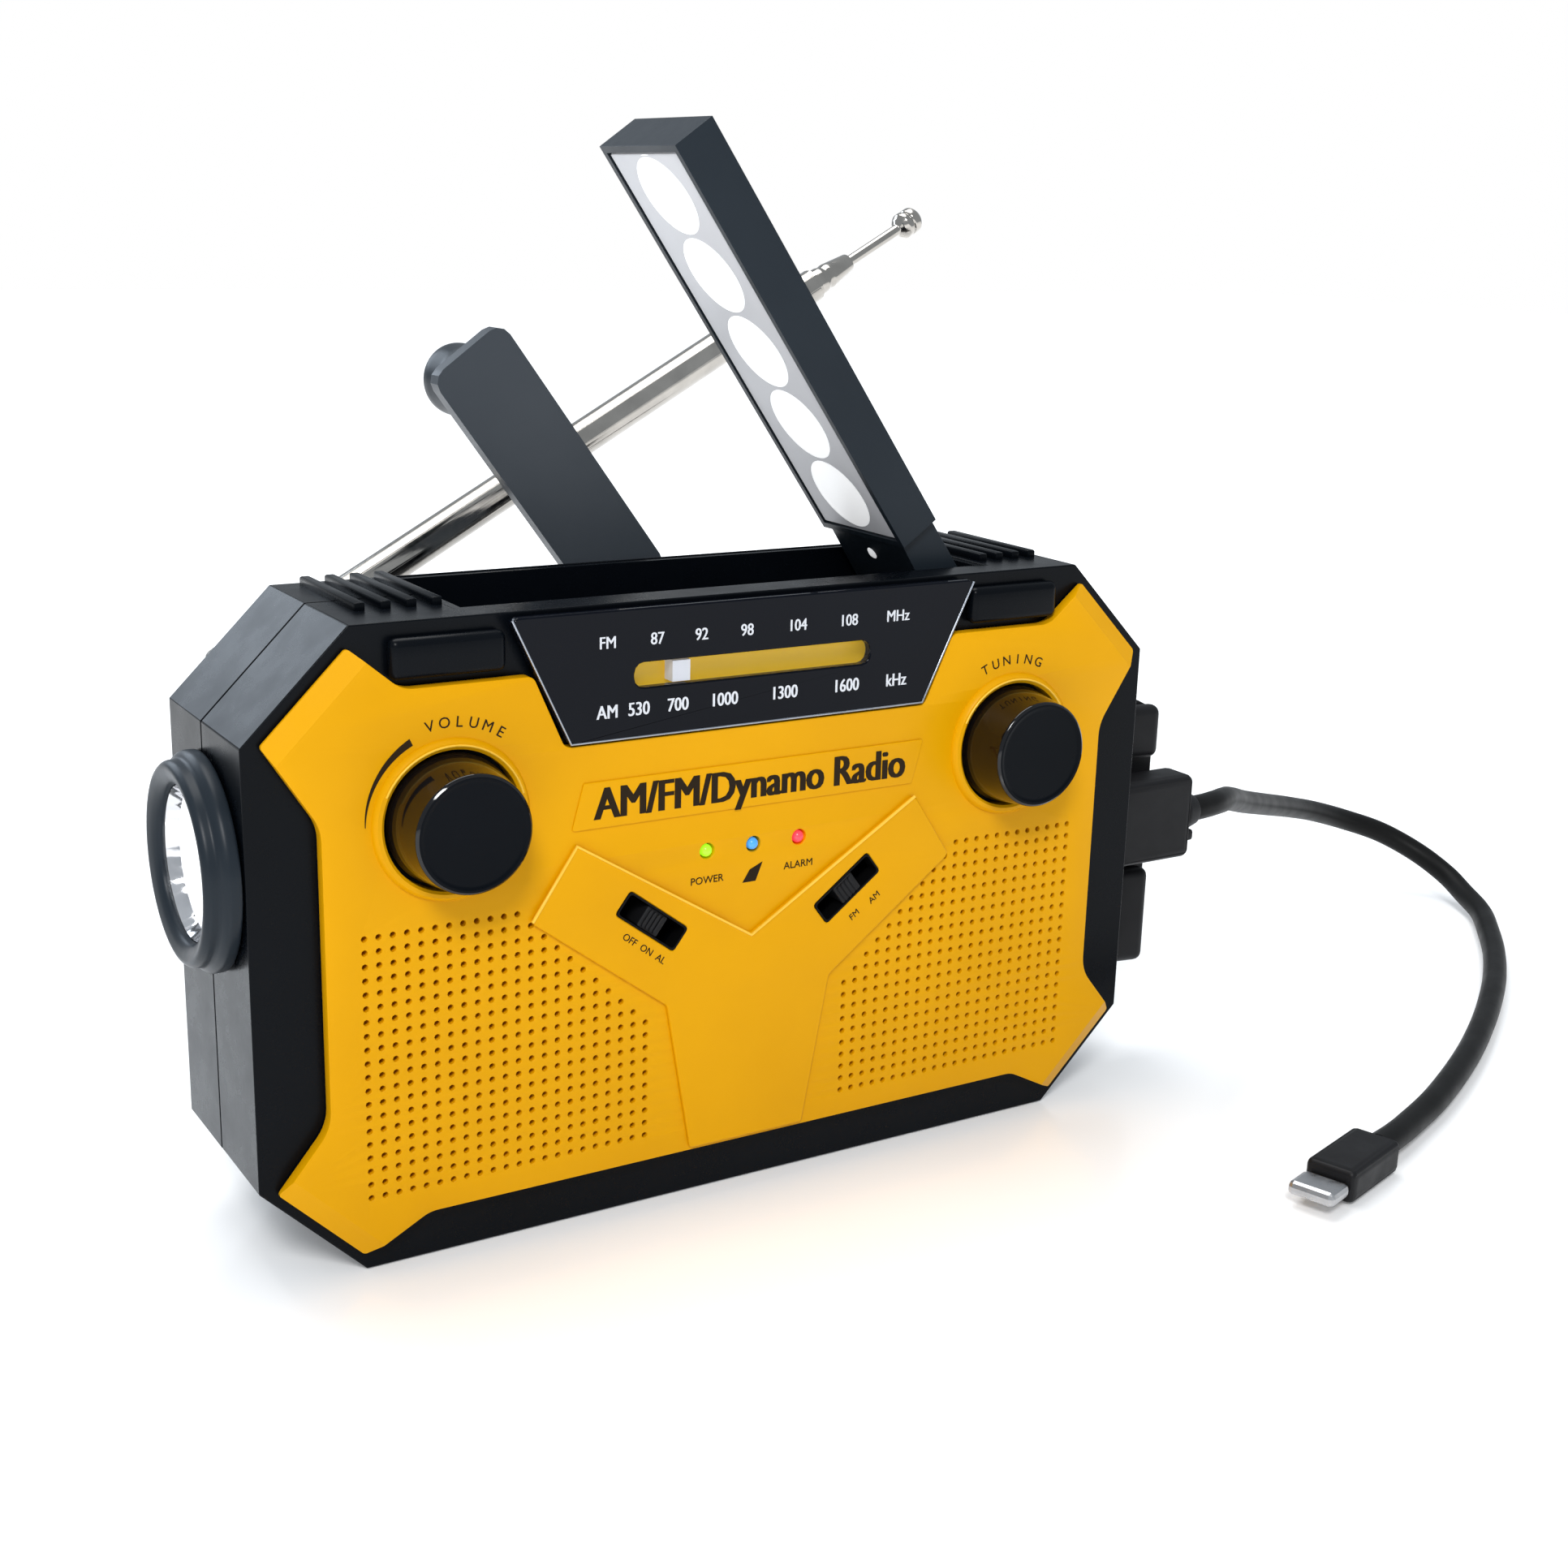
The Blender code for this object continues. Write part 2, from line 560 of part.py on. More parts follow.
def make_lamp():
    a, b, c, d, low, top = TRAY
    tray = box("lamp_tray", *TRAY, "black_plastic")
    cut(tray, box("tray_hollow", a + 1.2, b - 1.2, c + 1.2, d - 1.2, low + 1.2, 110.0),
        rod("tray_pin_hole", (LAMP_PIN_X, 5, LAMP_PIN_Z), (LAMP_PIN_X, 40, LAMP_PIN_Z), 1.3,
            sides=16))
    y0, y1 = LAMP_Y
    half = LAMP_THICK / 2
    housing = lamp_box("lamp_housing", 12.0, LAMP_LONG, y0, y1, -half, half, "black_plastic")
    foot = lamp_foot(y0 + 1.4, y1 - 1.4, half)
    hollow = lamp_box("lamp_hollow", 13.2, LAMP_LONG - 1.2, y0 + 1.2, y1 - 1.2, -half - 1.0, -half + 4.8)
    solar = lamp_box("solar_recess", 9.0, LAMP_LONG - 1.9, y0 + 2.0, y1 - 2.0, half - 1.1, half + 1.0)
    bore = rod("lamp_bore", (LAMP_PIN_X, 0, LAMP_PIN_Z), (LAMP_PIN_X, 45, LAMP_PIN_Z), 1.3,
               sides=16)
    for piece in (housing, foot, hollow, solar, bore):
        open_lamp(piece)
    join(housing, foot)
    cut(housing, hollow, solar, bore)
    open_lamp(lamp_box("lamp_diffuser", 13.5, LAMP_LONG - 1.5, y0 + 1.5, y1 - 1.5, -half + 0.2,
                       -half + 1.8, "white_plastic"))
    open_lamp(lamp_box("lamp_led_board", 14.0, LAMP_LONG - 2.0, y0 + 1.8, y1 - 1.8, -half + 3.3,
                       -half + 4.5, "circuit_board"))
    open_lamp(lamp_box("solar_panel", 9.3, LAMP_LONG - 2.2, y0 + 2.3, y1 - 2.3, half - 0.8, half - 0.05,
                       "solar_cells"))
    pin = rod("lamp_hinge_pin", (LAMP_PIN_X, 8.2, LAMP_PIN_Z), (LAMP_PIN_X, 35.2, LAMP_PIN_Z),
              1.0, "steel", sides=16)
    pivot(pin, (LAMP_PIN_X, 0, LAMP_PIN_Z))


# ---------------------------------------------------------------- crank and dynamo

def crank_place():
    """Frame of the crank: its x runs along the arm, its origin is on the hub's axis."""
    hub = world(HUB_X, 0, HUB_Z)
    turn = Matrix.Rotation(-radians(CRANK_ANGLE), 4, "Y")
    return Matrix.Translation(hub) @ turn @ Matrix.Translation(-world(0, 0, 0))


def on_crank(obj, x=0.0, y=0.0):
    """Place a piece drawn along the crank's x axis, with its origin at x, y on the arm."""
    place = crank_place()
    origin = world(x, y, 0.0)
    turn = place.to_3x3().to_4x4()
    settle(obj, turn @ Matrix.Translation(-origin))
    obj.location = place @ origin
    return obj


def gear_outline(x, z, radius, teeth, phase=0.0):
    points = []
    for tooth in range(teeth):
        for share, depth in ((0.0, 0.7), (0.3, 0.7), (0.42, 0.0), (0.88, 0.0)):
            angle = tau * (tooth + share) / teeth + phase
            points.append((x + (radius - depth) * cos(angle), z + (radius - depth) * sin(angle)))
    return points


def make_crank():
    hub = rod("crank_hub", (0, 42.4, 0), (0, 43.8, 0), 9.5, "grey_plastic")
    cheek = [(FOLD_X + 3.2, 43.4), *arc((FOLD_X, FOLD_Y), 3.2, 0.0, pi, 10),
             (FOLD_X - 3.2, 43.4)]
    pieces = [flat_plate("upper_cheek", cheek, 4.4, 7.2),
              flat_plate("lower_cheek", cheek, -7.2, -4.4)]
    pin_bore = rod("fold_bore", (FOLD_X, FOLD_Y, -12), (FOLD_X, FOLD_Y, 12), 1.1, sides=16)
    for piece in (*pieces, pin_bore):
        on_crank(piece)
    on_crank(hub)
    join(hub, *pieces)
    cut(hub, pin_bore)
    pin = rod("crank_fold_pin", (FOLD_X, FOLD_Y, -7.0), (FOLD_X, FOLD_Y, 7.0), 0.8, "steel",
              sides=16)
    on_crank(pin)

    outline = rounded([(11.0, -ARM_HALF), (CRANK_RADIUS + 7.2, -ARM_HALF),
                       (CRANK_RADIUS + 7.2, ARM_HALF), (11.0, ARM_HALF)], [1.5, 2.6, 2.6, 1.5])
    arm = plate("crank_arm", outline, *ARM_Y, "grey_plastic")
    profile = [(11.6, 45.4), (11.6, 47.8), *arc((FOLD_X, FOLD_Y), 2.3, 0.55, tau - 0.55, 16)]
    tongue = flat_plate("arm_tongue", profile, -4.0, 4.0)
    bore = rod("arm_bore", (FOLD_X, FOLD_Y, -12), (FOLD_X, FOLD_Y, 12), 1.1, sides=16)
    post = rod("arm_post", (CRANK_RADIUS, 47.0, 0), (CRANK_RADIUS, 59.8, 0), 1.5, sides=16)
    for piece in (arm, tongue, bore, post):
        on_crank(piece, FOLD_X, FOLD_Y)
    join(arm, tongue, post)
    cut(arm, bore)
    knob = turned("crank_knob", [(0.0, 12.0), (5.2, 12.0), (6.0, 11.2), (6.0, 9.5), (5.5, 6.0),
                                 (6.0, 1.2), (5.6, 0.0), (1.8, 0.0), (1.8, 11.6), (0.0, 11.6)],
                  (0, 0, 0), (0, 0, 1), "black_plastic", 28)
    place_turned(knob, CRANK_RADIUS, 48.4)


def place_turned(obj, x, y):
    """Stand a turned piece on the crank arm, its axis along Y."""
    spot = crank_place() @ world(x, y, 0.0)
    obj.matrix_world = Matrix.Translation(spot) @ Matrix.Rotation(-pi / 2, 4, "X")


def make_gear_train():
    shaft = plate("crank_shaft", gear_outline(HUB_X, HUB_Z, GEAR_R, 24), 36.8, 39.2,
                  "white_plastic")
    join(shaft, rod("shaft_core", (HUB_X, 36.2, HUB_Z), (HUB_X, 42.1, HUB_Z), 3.1, sides=24))
    pivot(shaft, (HUB_X, 38, HUB_Z))
    idler = plate("idler_gear", gear_outline(IDLER_X, IDLER_Z, IDLER_R, 28), 33.4, 35.8,
                  "white_plastic")
    join(idler, plate("idler_pinion", gear_outline(IDLER_X, IDLER_Z, PINION_R, 8), 35.5, 39.2))
    pivot(idler, (IDLER_X, 36, IDLER_Z))
    rotor = rod("dynamo_rotor", (DYNAMO_X, 25.8, DYNAMO_Z), (DYNAMO_X, 30.0, DYNAMO_Z), 9.6,
                "steel")
    join(rotor, rod("rotor_shaft", (DYNAMO_X, 29.5, DYNAMO_Z), (DYNAMO_X, 36.0, DYNAMO_Z), 1.2,
                    sides=16),
         plate("rotor_pinion", gear_outline(DYNAMO_X, DYNAMO_Z, PINION_R, 8), 33.4, 35.8))
    pivot(rotor, (DYNAMO_X, 30, DYNAMO_Z))
    profile = [(0.0, 1.2), (10.4, 1.2), (10.4, 7.0), (1.7, 7.0), (1.7, 8.2), (12.0, 8.2),
               (12.0, 0.0), (0.0, 0.0)]
    case = turned("dynamo_case", profile, (DYNAMO_X, 24.2, DYNAMO_Z), (0, 1, 0), "steel", 32)
    return case


# ---------------------------------------------------------------- antenna

def antenna_frame(lean):
    """Frame at the antenna's pivot: z along the rod, x across it in the back plane."""
    rise = radians(ANTENNA_RISE)
    along = Vector((cos(rise), 0.0, sin(rise)))
    back = Vector((0.0, 1.0, 0.0))
    across = back.cross(along)
    tilt = Matrix.Rotation(radians(lean), 3, across)
    direction = tilt @ along
    if direction.y < 0.0:
        direction = Matrix.Rotation(-radians(lean), 3, across) @ along
    third = direction.cross(across)
    frame = Matrix((across, third, direction)).transposed().to_4x4()
    return Matrix.Translation(world(*ANTENNA)) @ frame


def on_antenna(obj, lean=ANTENNA_LEAN, shift=0.0):
    place = antenna_frame(lean) @ Matrix.Translation((0, 0, shift * MM))
    obj.matrix_world = place
    return obj


def local_rod(name, start, end, radius, material=None, sides=24):
    """A cylinder in the antenna's own frame, before it is placed."""
    start, end = Vector(start) * MM, Vector(end) * MM
    bm = bmesh.new()
    bmesh.ops.create_cone(bm, cap_ends=True, segments=sides, radius1=radius * MM,
                          radius2=radius * MM, depth=(end - start).length)
    turn = (end - start).to_track_quat("Z", "Y").to_matrix().to_4x4()
    bm.transform(Matrix.Translation((start + end) / 2) @ turn)
    return from_bmesh(name, bm, material)


def local_box(name, x0, x1, y0, y1, z0, z1, material=None):
    bm = bmesh.new()
    bmesh.ops.create_cube(bm, size=1.0)
    size = Matrix.Diagonal(((x1 - x0) * MM, (y1 - y0) * MM, (z1 - z0) * MM, 1.0))
    centre = Vector(((x0 + x1) / 2, (y0 + y1) / 2, (z0 + z1) / 2)) * MM
    bm.transform(Matrix.Translation(centre) @ size)
    return from_bmesh(name, bm, material)


def make_knuckle():
    """Swivel post on the case with two ears that hold the antenna's tilt pin."""
    x, depth, z = ANTENNA
    knuckle = rod("antenna_knuckle", (x, KNUCKLE_Y[0], z), (x, KNUCKLE_Y[1], z), 5.6, "chrome",
                  sides=28)
    join(knuckle, rod("knuckle_post", (x, 46.5, z), (x, KNUCKLE_Y[0] + 0.7, z), 1.6, sides=16))
    for side in (-1, 1):
        x0, x1 = sorted((side * 2.4, side * 4.0))
        ear = local_box(f"ear_block_{side + 1}", x0, x1, KNUCKLE_Y[1] - 0.6 - depth, 0.0,
                        -2.45, 2.45)
        tip = local_rod(f"ear_{side + 1}", (x0 - 0.05, 0, 0), (x1 + 0.05, 0, 0), 2.6, sides=20)
        for piece in (ear, tip):
            on_antenna(piece, 0.0)
            join(knuckle, piece)
    bore = on_antenna(local_rod("knuckle_bore", (-9, 0, 0), (9, 0, 0), 1.1, sides=16), 0.0)
    cut(knuckle, bore)
    pivot(knuckle, ANTENNA)
    pin = local_rod("antenna_tilt_pin", (-3.9, 0, 0), (3.9, 0, 0), 0.8, "steel", 16)
    on_antenna(pin)


def make_antenna():
    make_knuckle()
    outside = [(0.0, 7.0), (2.7, 7.4), (2.7, TUBE_END), (3.2, TUBE_END), (3.2, 6.2),
               (2.9, 5.0), (2.9, 4.4), (0.0, 4.4)]
    tube = on_antenna(turned("antenna_tube", outside, (0, 0, 0), (0, 0, 1), "chrome", 24))
    root = on_antenna(local_box("antenna_root", -1.9, 1.9, -2.1, 2.1, 0.0, 5.2))
    eye = on_antenna(local_rod("antenna_eye", (-2.0, 0, 0), (2.0, 0, 0), 2.4, sides=20))
    bore = on_antenna(local_rod("antenna_bore", (-9, 0, 0), (9, 0, 0), 1.1, sides=16))
    join(tube, root, eye)
    cut(tube, bore)
    start = 40.0
    ferrule = [(1.7, FERRULE_END), (2.6, TUBE_END + 1.8), (2.6, TUBE_END + 0.4),
               (2.3, TUBE_END + 0.4), (2.3, start), (1.6, start), (1.6, FERRULE_END - 1.0),
               (1.4, FERRULE_END)]
    on_antenna(turned("antenna_section", shifted(ferrule, start), (0, 0, 0), (0, 0, 1),
                      "chrome", 20), shift=start)
    base = 60.0
    tip = [(0.0, TIP_END), (1.9, TIP_END), (2.6, TIP_END - 0.8), (2.6, ROD_END + 1.4),
           (1.9, ROD_END + 0.6), (1.05, ROD_END), (1.05, base), (0.0, base)]
    on_antenna(turned("antenna_rod", shifted(tip, base), (0, 0, 0), (0, 0, 1), "chrome", 20),
               shift=base)


def shifted(profile, start):
    return [(radius, height - start) for radius, height in profile]


# ---------------------------------------------------------------- torch

def make_torch():
    """Drawn outwards from the side wall: height 0 is the wall's outer face."""
    side = (-WIDTH / 2, TORCH_Y, TORCH_Z)
    out = (-1, 0, 0)
    bezel = [(TORCH_RING_R - 0.6, TORCH_OUT), (TORCH_RING_R, TORCH_OUT - 0.7),
             (TORCH_RING_R, 3.2), (TORCH_BASE_R - 0.4, 2.6), (TORCH_BASE_R, 2.0),
             (TORCH_BASE_R, GAP), (12.5, GAP), (12.5, -6.0), (11.3, -6.0), (11.3, 3.2),
             (12.2, TORCH_OUT - 0.6), (12.8, TORCH_OUT)]
    turned("torch_bezel", bezel, side, out, "black_plastic", 44)
    lens = [(0.0, 3.3), (7.0, 3.0), (10.9, 2.2), (10.9, 1.0), (7.0, 1.8), (0.0, 2.1)]
    turned("torch_lens", lens, side, out, "clear_plastic", 32)
    cup = [(10.9, 0.7), (9.8, -2.6), (7.8, -6.2), (4.6, -9.2), (2.4, -10.2), (1.8, -10.2),
           (1.8, -9.6), (4.2, -8.6), (7.1, -5.8), (9.1, -2.4), (10.2, 0.7)]
    turned("torch_reflector", cup, side, out, "chrome", 32)
    led = [(0.0, -7.6), (1.0, -7.9), (1.4, -8.6), (1.4, -10.8), (6.5, -10.8), (6.5, -12.2),
           (0.0, -12.2)]
    turned("torch_led", led, side, out, "white_plastic", 24)


# ---------------------------------------------------------------- sockets, flap and lead

def port_cutter(name, z, half_y, half_z, x0, x1):
    return box(name, x0, x1, PORT_Y - half_y, PORT_Y + half_y, z - half_z, z + half_z)


def make_ports():
    block = box("port_block", *PORT_BLOCK, "black_plastic")
    cut(block, port_cutter("usb_hole", PORT_Z, 3.4, 7.2, 60, 80),
        port_cutter("micro_hole", MICRO_Z, 2.2, 4.6, 60, 80))
    usb = port_cutter("usb_socket", PORT_Z, 3.1, 6.9, 61.5, 76.6)
    usb_node = box("usb_a_socket", 61.5, 76.6, PORT_Y - 3.1, PORT_Y + 3.1, PORT_Z - 6.9,
                   PORT_Z + 6.9, "steel")
    bpy.data.objects.remove(usb, do_unlink=True)
    cut(usb_node, port_cutter("usb_mouth", PORT_Z, 2.6, 6.4, 62.5, 80))
    micro = box("micro_usb_socket", 70.5, 76.6, PORT_Y - 1.9, PORT_Y + 1.9, MICRO_Z - 4.3,
                MICRO_Z + 4.3, "steel")
    cut(micro, port_cutter("micro_mouth", MICRO_Z, 1.3, 3.7, 71.5, 80))


def make_flap():
    """Rubber cover over the sockets, drawn closed and then swung open about its rear edge."""
    flap = box("port_cover", FLAP_PIN_X - 1.0, FLAP_PIN_X + 0.8, FLAP_PIN_Y - FLAP_LONG,
               FLAP_PIN_Y - 0.5, 16.2, 67.8, "rubber")
    barrel = rod("flap_barrel", (FLAP_PIN_X, FLAP_PIN_Y, 17.5), (FLAP_PIN_X, FLAP_PIN_Y, 66.5),
                 0.8, sides=16)
    turn = Matrix.Rotation(radians(FLAP_OPEN), 4, "Z")
    centre = world(FLAP_PIN_X, FLAP_PIN_Y, 42.0)
    for piece in (flap, barrel):
        settle(piece, turn @ Matrix.Translation(-centre))
        piece.location = centre
    join(flap, barrel)


def smooth_route(points, spacing):
    """Points read every so often along a smooth curve through the route's own points."""
    path = [world(*p) for p in points]
    padded = [2 * path[0] - path[1], *path, 2 * path[-1] - path[-2]]
    fine = []
    for i in range(1, len(padded) - 2):
        a, b, c, d = padded[i - 1:i + 3]
        for step in range(24):
            t = step / 24
            fine.append(0.5 * (2 * b + (c - a) * t + (2 * a - 5 * b + 4 * c - d) * t * t
                               + (3 * b - a - 3 * c + d) * t ** 3))
    fine.append(path[-1])
    total = sum((q - p).length for p, q in zip(fine, fine[1:]))
    count = ceil(total / (spacing * MM))
    result, travelled, index = [fine[0]], 0.0, 0
    for k in range(1, count):
        target = total * k / count
        while travelled + (fine[index + 1] - fine[index]).length < target:
            travelled += (fine[index + 1] - fine[index]).length
            index += 1
        step = fine[index + 1] - fine[index]
        result.append(fine[index] + step * ((target - travelled) / step.length))
    return [*result, fine[-1]]


def make_lead():
    curve = bpy.data.curves.new("charge_cable", "CURVE")
    curve.dimensions = "3D"
    curve.bevel_depth = CABLE_R * MM
    curve.bevel_resolution = 2
    curve.use_fill_caps = True
    route = smooth_route(CABLE_ROUTE, 5.0)
    spline = curve.splines.new("POLY")
    spline.points.add(len(route) - 1)
    for point, place in zip(spline.points, route):
        point.co = (*place, 1.0)
    cable = bpy.data.objects.new("charge_cable", curve)
    curve.materials.append(bpy.data.materials["rubber"])
    PARTS.objects.link(cable)

    body = box("usb_plug", 80.8, 101.0, PORT_Y - 4.0, PORT_Y + 4.0, PORT_Z - 8.0, PORT_Z + 8.0,
               "rubber")
    edge_round(body, 1.4)
    shell = box("usb_plug_shell", 64.5, 80.5, PORT_Y - 2.25, PORT_Y + 2.25, PORT_Z - 6.0,
                PORT_Z + 6.0, "steel")
    cut(shell, port_cutter("plug_hollow", PORT_Z, 1.85, 5.6, 60, 78))
    make_phone_plug()


def make_phone_plug():
    """Connector at the lead's far end, lying on the surface the radio stands on."""
    end, before = Vector(CABLE_ROUTE[-1]), Vector(CABLE_ROUTE[-2])
    heading = atan2(end.y - before.y, end.x - before.x)
    start = world(end.x, end.y, 3.1)
    place = Matrix.Translation(start) @ Matrix.Rotation(heading, 4, "Z")
    body = local_box("phone_plug", 0.4, 18.0, -4.5, 4.5, -3.0, 3.0, "rubber")
    edge_round(body, 1.2)
    body.matrix_world = place
    tip = local_box("phone_plug_tip", 18.3, 24.6, -4.1, 4.1, -1.2, 1.2, "steel")
    edge_round(tip, 0.9)
    tip.matrix_world = place


make_front_panel()
make_front_shell()
make_rear_shell()
make_screws()
make_battery()
make_dial()
make_knobs()
make_leds()
make_switches()
make_inner_parts()
make_lamp()
make_crank()
make_gear_train()
make_antenna()
make_torch()
make_ports()
make_flap()
make_lead()
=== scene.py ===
"""Looks of the hand-crank emergency radio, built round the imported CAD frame.

Lengths are millimetres unless a comment says metres, and y is counted from the front face of
the case. Lights and the floor are in metres, and a texture's scale is per metre.
"""
from math import atan2, cos, pi, radians, sin, sqrt, tau

import bmesh
import bpy
from mathutils import Matrix, Vector

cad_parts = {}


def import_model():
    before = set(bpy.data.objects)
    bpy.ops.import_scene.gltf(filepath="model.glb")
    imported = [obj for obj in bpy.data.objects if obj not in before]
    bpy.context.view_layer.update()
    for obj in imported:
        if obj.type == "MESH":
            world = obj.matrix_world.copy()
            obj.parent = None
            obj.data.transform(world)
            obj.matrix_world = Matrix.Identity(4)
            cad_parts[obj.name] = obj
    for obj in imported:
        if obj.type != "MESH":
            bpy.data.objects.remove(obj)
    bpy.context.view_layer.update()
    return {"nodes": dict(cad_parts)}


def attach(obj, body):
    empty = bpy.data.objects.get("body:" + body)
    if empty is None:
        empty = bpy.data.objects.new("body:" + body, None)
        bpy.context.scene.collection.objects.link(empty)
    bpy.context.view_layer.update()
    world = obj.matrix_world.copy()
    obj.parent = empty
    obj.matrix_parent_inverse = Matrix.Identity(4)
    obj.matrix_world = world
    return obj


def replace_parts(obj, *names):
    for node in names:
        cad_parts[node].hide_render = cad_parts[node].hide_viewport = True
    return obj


MM = 0.001
SIDES = (("left", -1), ("right", 1))
FRONTWARDS = (0, -1, 0)
MERGE = 0.000002            # metres, below any real gap
SHORTEST_EDGE = 0.002       # metres, the shortest edge of a shell that is rounded

# Case: the origin is at the middle of its depth, and its four corners are cut off
HALF_DEPTH = 21.0
CASE_HALF, CASE_TOP, CASE_CUT = 79.5, 97.7, 15.8
REAR_CHAMFER_Y = 36.0

# Front panel and what shows through it
PANEL_HALF, PANEL_LOW, PANEL_HIGH, PANEL_CUT = 77.0, 3.0, 94.7, 12.6
PANEL_THICK = 2.1
PLATEAU = [(0.0, 43.6), (30.5, 62.5), (38.0, 51.3), (15.0, 34.0), (10.5, 8.8), (-10.5, 8.8),
           (-15.0, 34.0), (-38.0, 51.3), (-30.5, 62.5)]
PLATEAU_Y = -0.75
KNOB_X, KNOB_Z = 50.0, 68.8
LEDS = {"led_power": (-7.9, "green"), "led_charge": (0.4, "blue"), "led_alarm": (8.8, "red")}
LED_Z = 58.1
SLOT_X, SLOT_Z, SLOT_SLOPE = 17.8, 48.4, 37.0
GRILLE_X, GRILLE_Z = 18.4, 12.6
GRILLE_PITCH = (2.15, 2.12)
GRILLE_HOLES = (22, 20)
GRILLE_HOLE_RADIUS = 0.47
GRILLE_EDGE_Z, GRILLE_EDGE_SLOPE = 33.8, 0.93
LABEL_RADIUS, LETTER_TURN = 14.3, 9.0

# Lamp: it turns about LAMP_PIN, and is open by LAMP_OPEN degrees at rest
LAMP_PIN = (43.5, 93.6)
LAMP_OPEN = 54.7
LAMP_FACE = (13.5, 85.5)
LAMP_SPOTS, LAMP_SPOT_PITCH, LAMP_SPOT_RADIUS = 5, 14.25, 7.2

# Crank: the grip's axis is CRANK_RADIUS from the hub, at CRANK_ANGLE degrees
HUB = (9.0, 82.0)
CRANK_ANGLE, CRANK_RADIUS = 126.6, 54.0
GRIP_Y = 48.4

# Antenna: lengths along it are counted from its root
ANTENNA = (-62.0, 62.5, 79.05)
ANTENNA_RISE, ANTENNA_LEAN = 25.74, 9.87
TUBE_END, FERRULE_END, ROD_END, TIP_END = 141.0, 151.3, 166.3, 171.8

TORCH = (-79.5, 18.5, 61.7)

# Right end: the flap turns about FLAP_PIN, and the lead leaves the plug at LEAD_EXIT
FLAP_PIN = (78.6, 22.2)
FLAP_LONG, FLAP_OPEN = 19.8, 10.0
FLAP_Z = (16.2, 67.8)
PLUG_BACK_X = 100.4
LEAD_EXIT = (101.3, 12.5, 47.0)
LEAD_RADIUS = 2.4

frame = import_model()
scene = bpy.context.scene
scene.view_settings.view_transform = "Standard"


def world(x, y, z):
    """A place in millimetres as one in the frame's metres."""
    return Vector((x, y - HALF_DEPTH, z)) * MM


# ---------------------------------------------------------------- camera and lead

CAMERA_PLACE = (-160.0, -265.6, 154.9)
CAMERA_ANGLES = (-31.96, 15.65, 1.59)
CAMERA_LENS = 47.64


def make_camera():
    """The photograph's viewing angle; the angles are azimuth, elevation and roll."""
    azimuth, elevation, roll = (radians(angle) for angle in CAMERA_ANGLES)
    back = Vector((sin(azimuth) * cos(elevation), -cos(azimuth) * cos(elevation),
                   sin(elevation)))
    right = (-back).cross(Vector((0, 0, 1))).normalized()
    up = right.cross(-back)
    image_right = cos(roll) * right + sin(roll) * up
    image_up = -sin(roll) * right + cos(roll) * up
    data = bpy.data.cameras.new("camera")
    data.lens = CAMERA_LENS
    data.sensor_width = 36.0
    data.clip_start = 0.01
    camera = bpy.data.objects.new("camera", data)
    scene.collection.objects.link(camera)
    turn = Matrix((image_right, image_up, back)).transposed().to_4x4()
    camera.matrix_world = Matrix.Translation(world(*CAMERA_PLACE)) @ turn
    scene.camera = camera


CABLE_ROUTE = [
    LEAD_EXIT, (107.0, 12.9, 47.0), (113.0, 15.0, 46.6), (122.0, 21.5, 44.4),
    (138.0, 33.5, 38.6), (158.0, 46.5, 32.0), (176.0, 57.0, 26.3), (191.0, 63.5, 21.6),
    (203.0, 65.0, 17.6), (212.0, 61.5, 14.2), (217.8, 55.0, 10.2), (219.8, 47.5, 6.6),
    (218.5, 40.5, 4.1), (214.5, 32.0, 2.8), (206.5, 23.0, 2.5), (196.0, 12.5, 2.5),
    (184.0, 2.2, 2.5), (172.0, -6.8, 2.5), (160.0, -15.0, 2.5), (148.0, -22.5, 2.5),
    (136.0, -29.2, 2.5), (123.0, -35.7, 2.5), (112.0, -40.3, 2.6), (104.5, -43.3, 2.9),
    (98.2, -45.3, 3.1),
]


def smooth_route(points, steps=8):
    """World points on one smooth curve through all the given ones."""
    path = [world(*p) for p in points]
    padded = [2 * path[0] - path[1], *path, 2 * path[-1] - path[-2]]
    fine = []
    for i in range(1, len(padded) - 2):
        a, b, c, d = padded[i - 1:i + 3]
        for step in range(steps):
            t = step / steps
            fine.append(0.5 * (2 * b + (c - a) * t + (2 * a - 5 * b + 4 * c - d) * t * t
                               + (3 * b - a - 3 * c + d) * t ** 3))
    return [*fine, path[-1]]


def make_cable():
    curve = bpy.data.curves.new("lead", "CURVE")
    curve.dimensions = "3D"
    curve.bevel_depth = LEAD_RADIUS * MM
    curve.bevel_resolution = 5
    curve.use_fill_caps = True
    route = smooth_route(CABLE_ROUTE)
    spline = curve.splines.new("POLY")
    spline.points.add(len(route) - 1)
    spline.use_smooth = True
    for point, place in zip(spline.points, route):
        point.co = (*place, 1.0)
    lead = bpy.data.objects.new("lead", curve)
    scene.collection.objects.link(lead)
    lead.data.materials.append(MATERIALS["cable"])
    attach(lead, "case")
    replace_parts(lead, "charge_cable")
    length = sum((q - p).length for p, q in zip(route, route[1:]))
    return lead, route[0], length


# ---------------------------------------------------------------- materials

def shader_parts(name, colour, roughness, metallic=0.0):
    """A new material, with its node tree and its shader."""
    material = bpy.data.materials.new(name)
    material.use_nodes = True
    tree = material.node_tree
    shader = tree.nodes["Principled BSDF"]
    shader.inputs["Base Color"].default_value = (*colour, 1.0)
    shader.inputs["Roughness"].default_value = roughness
    shader.inputs["Metallic"].default_value = metallic
    return material, tree, shader


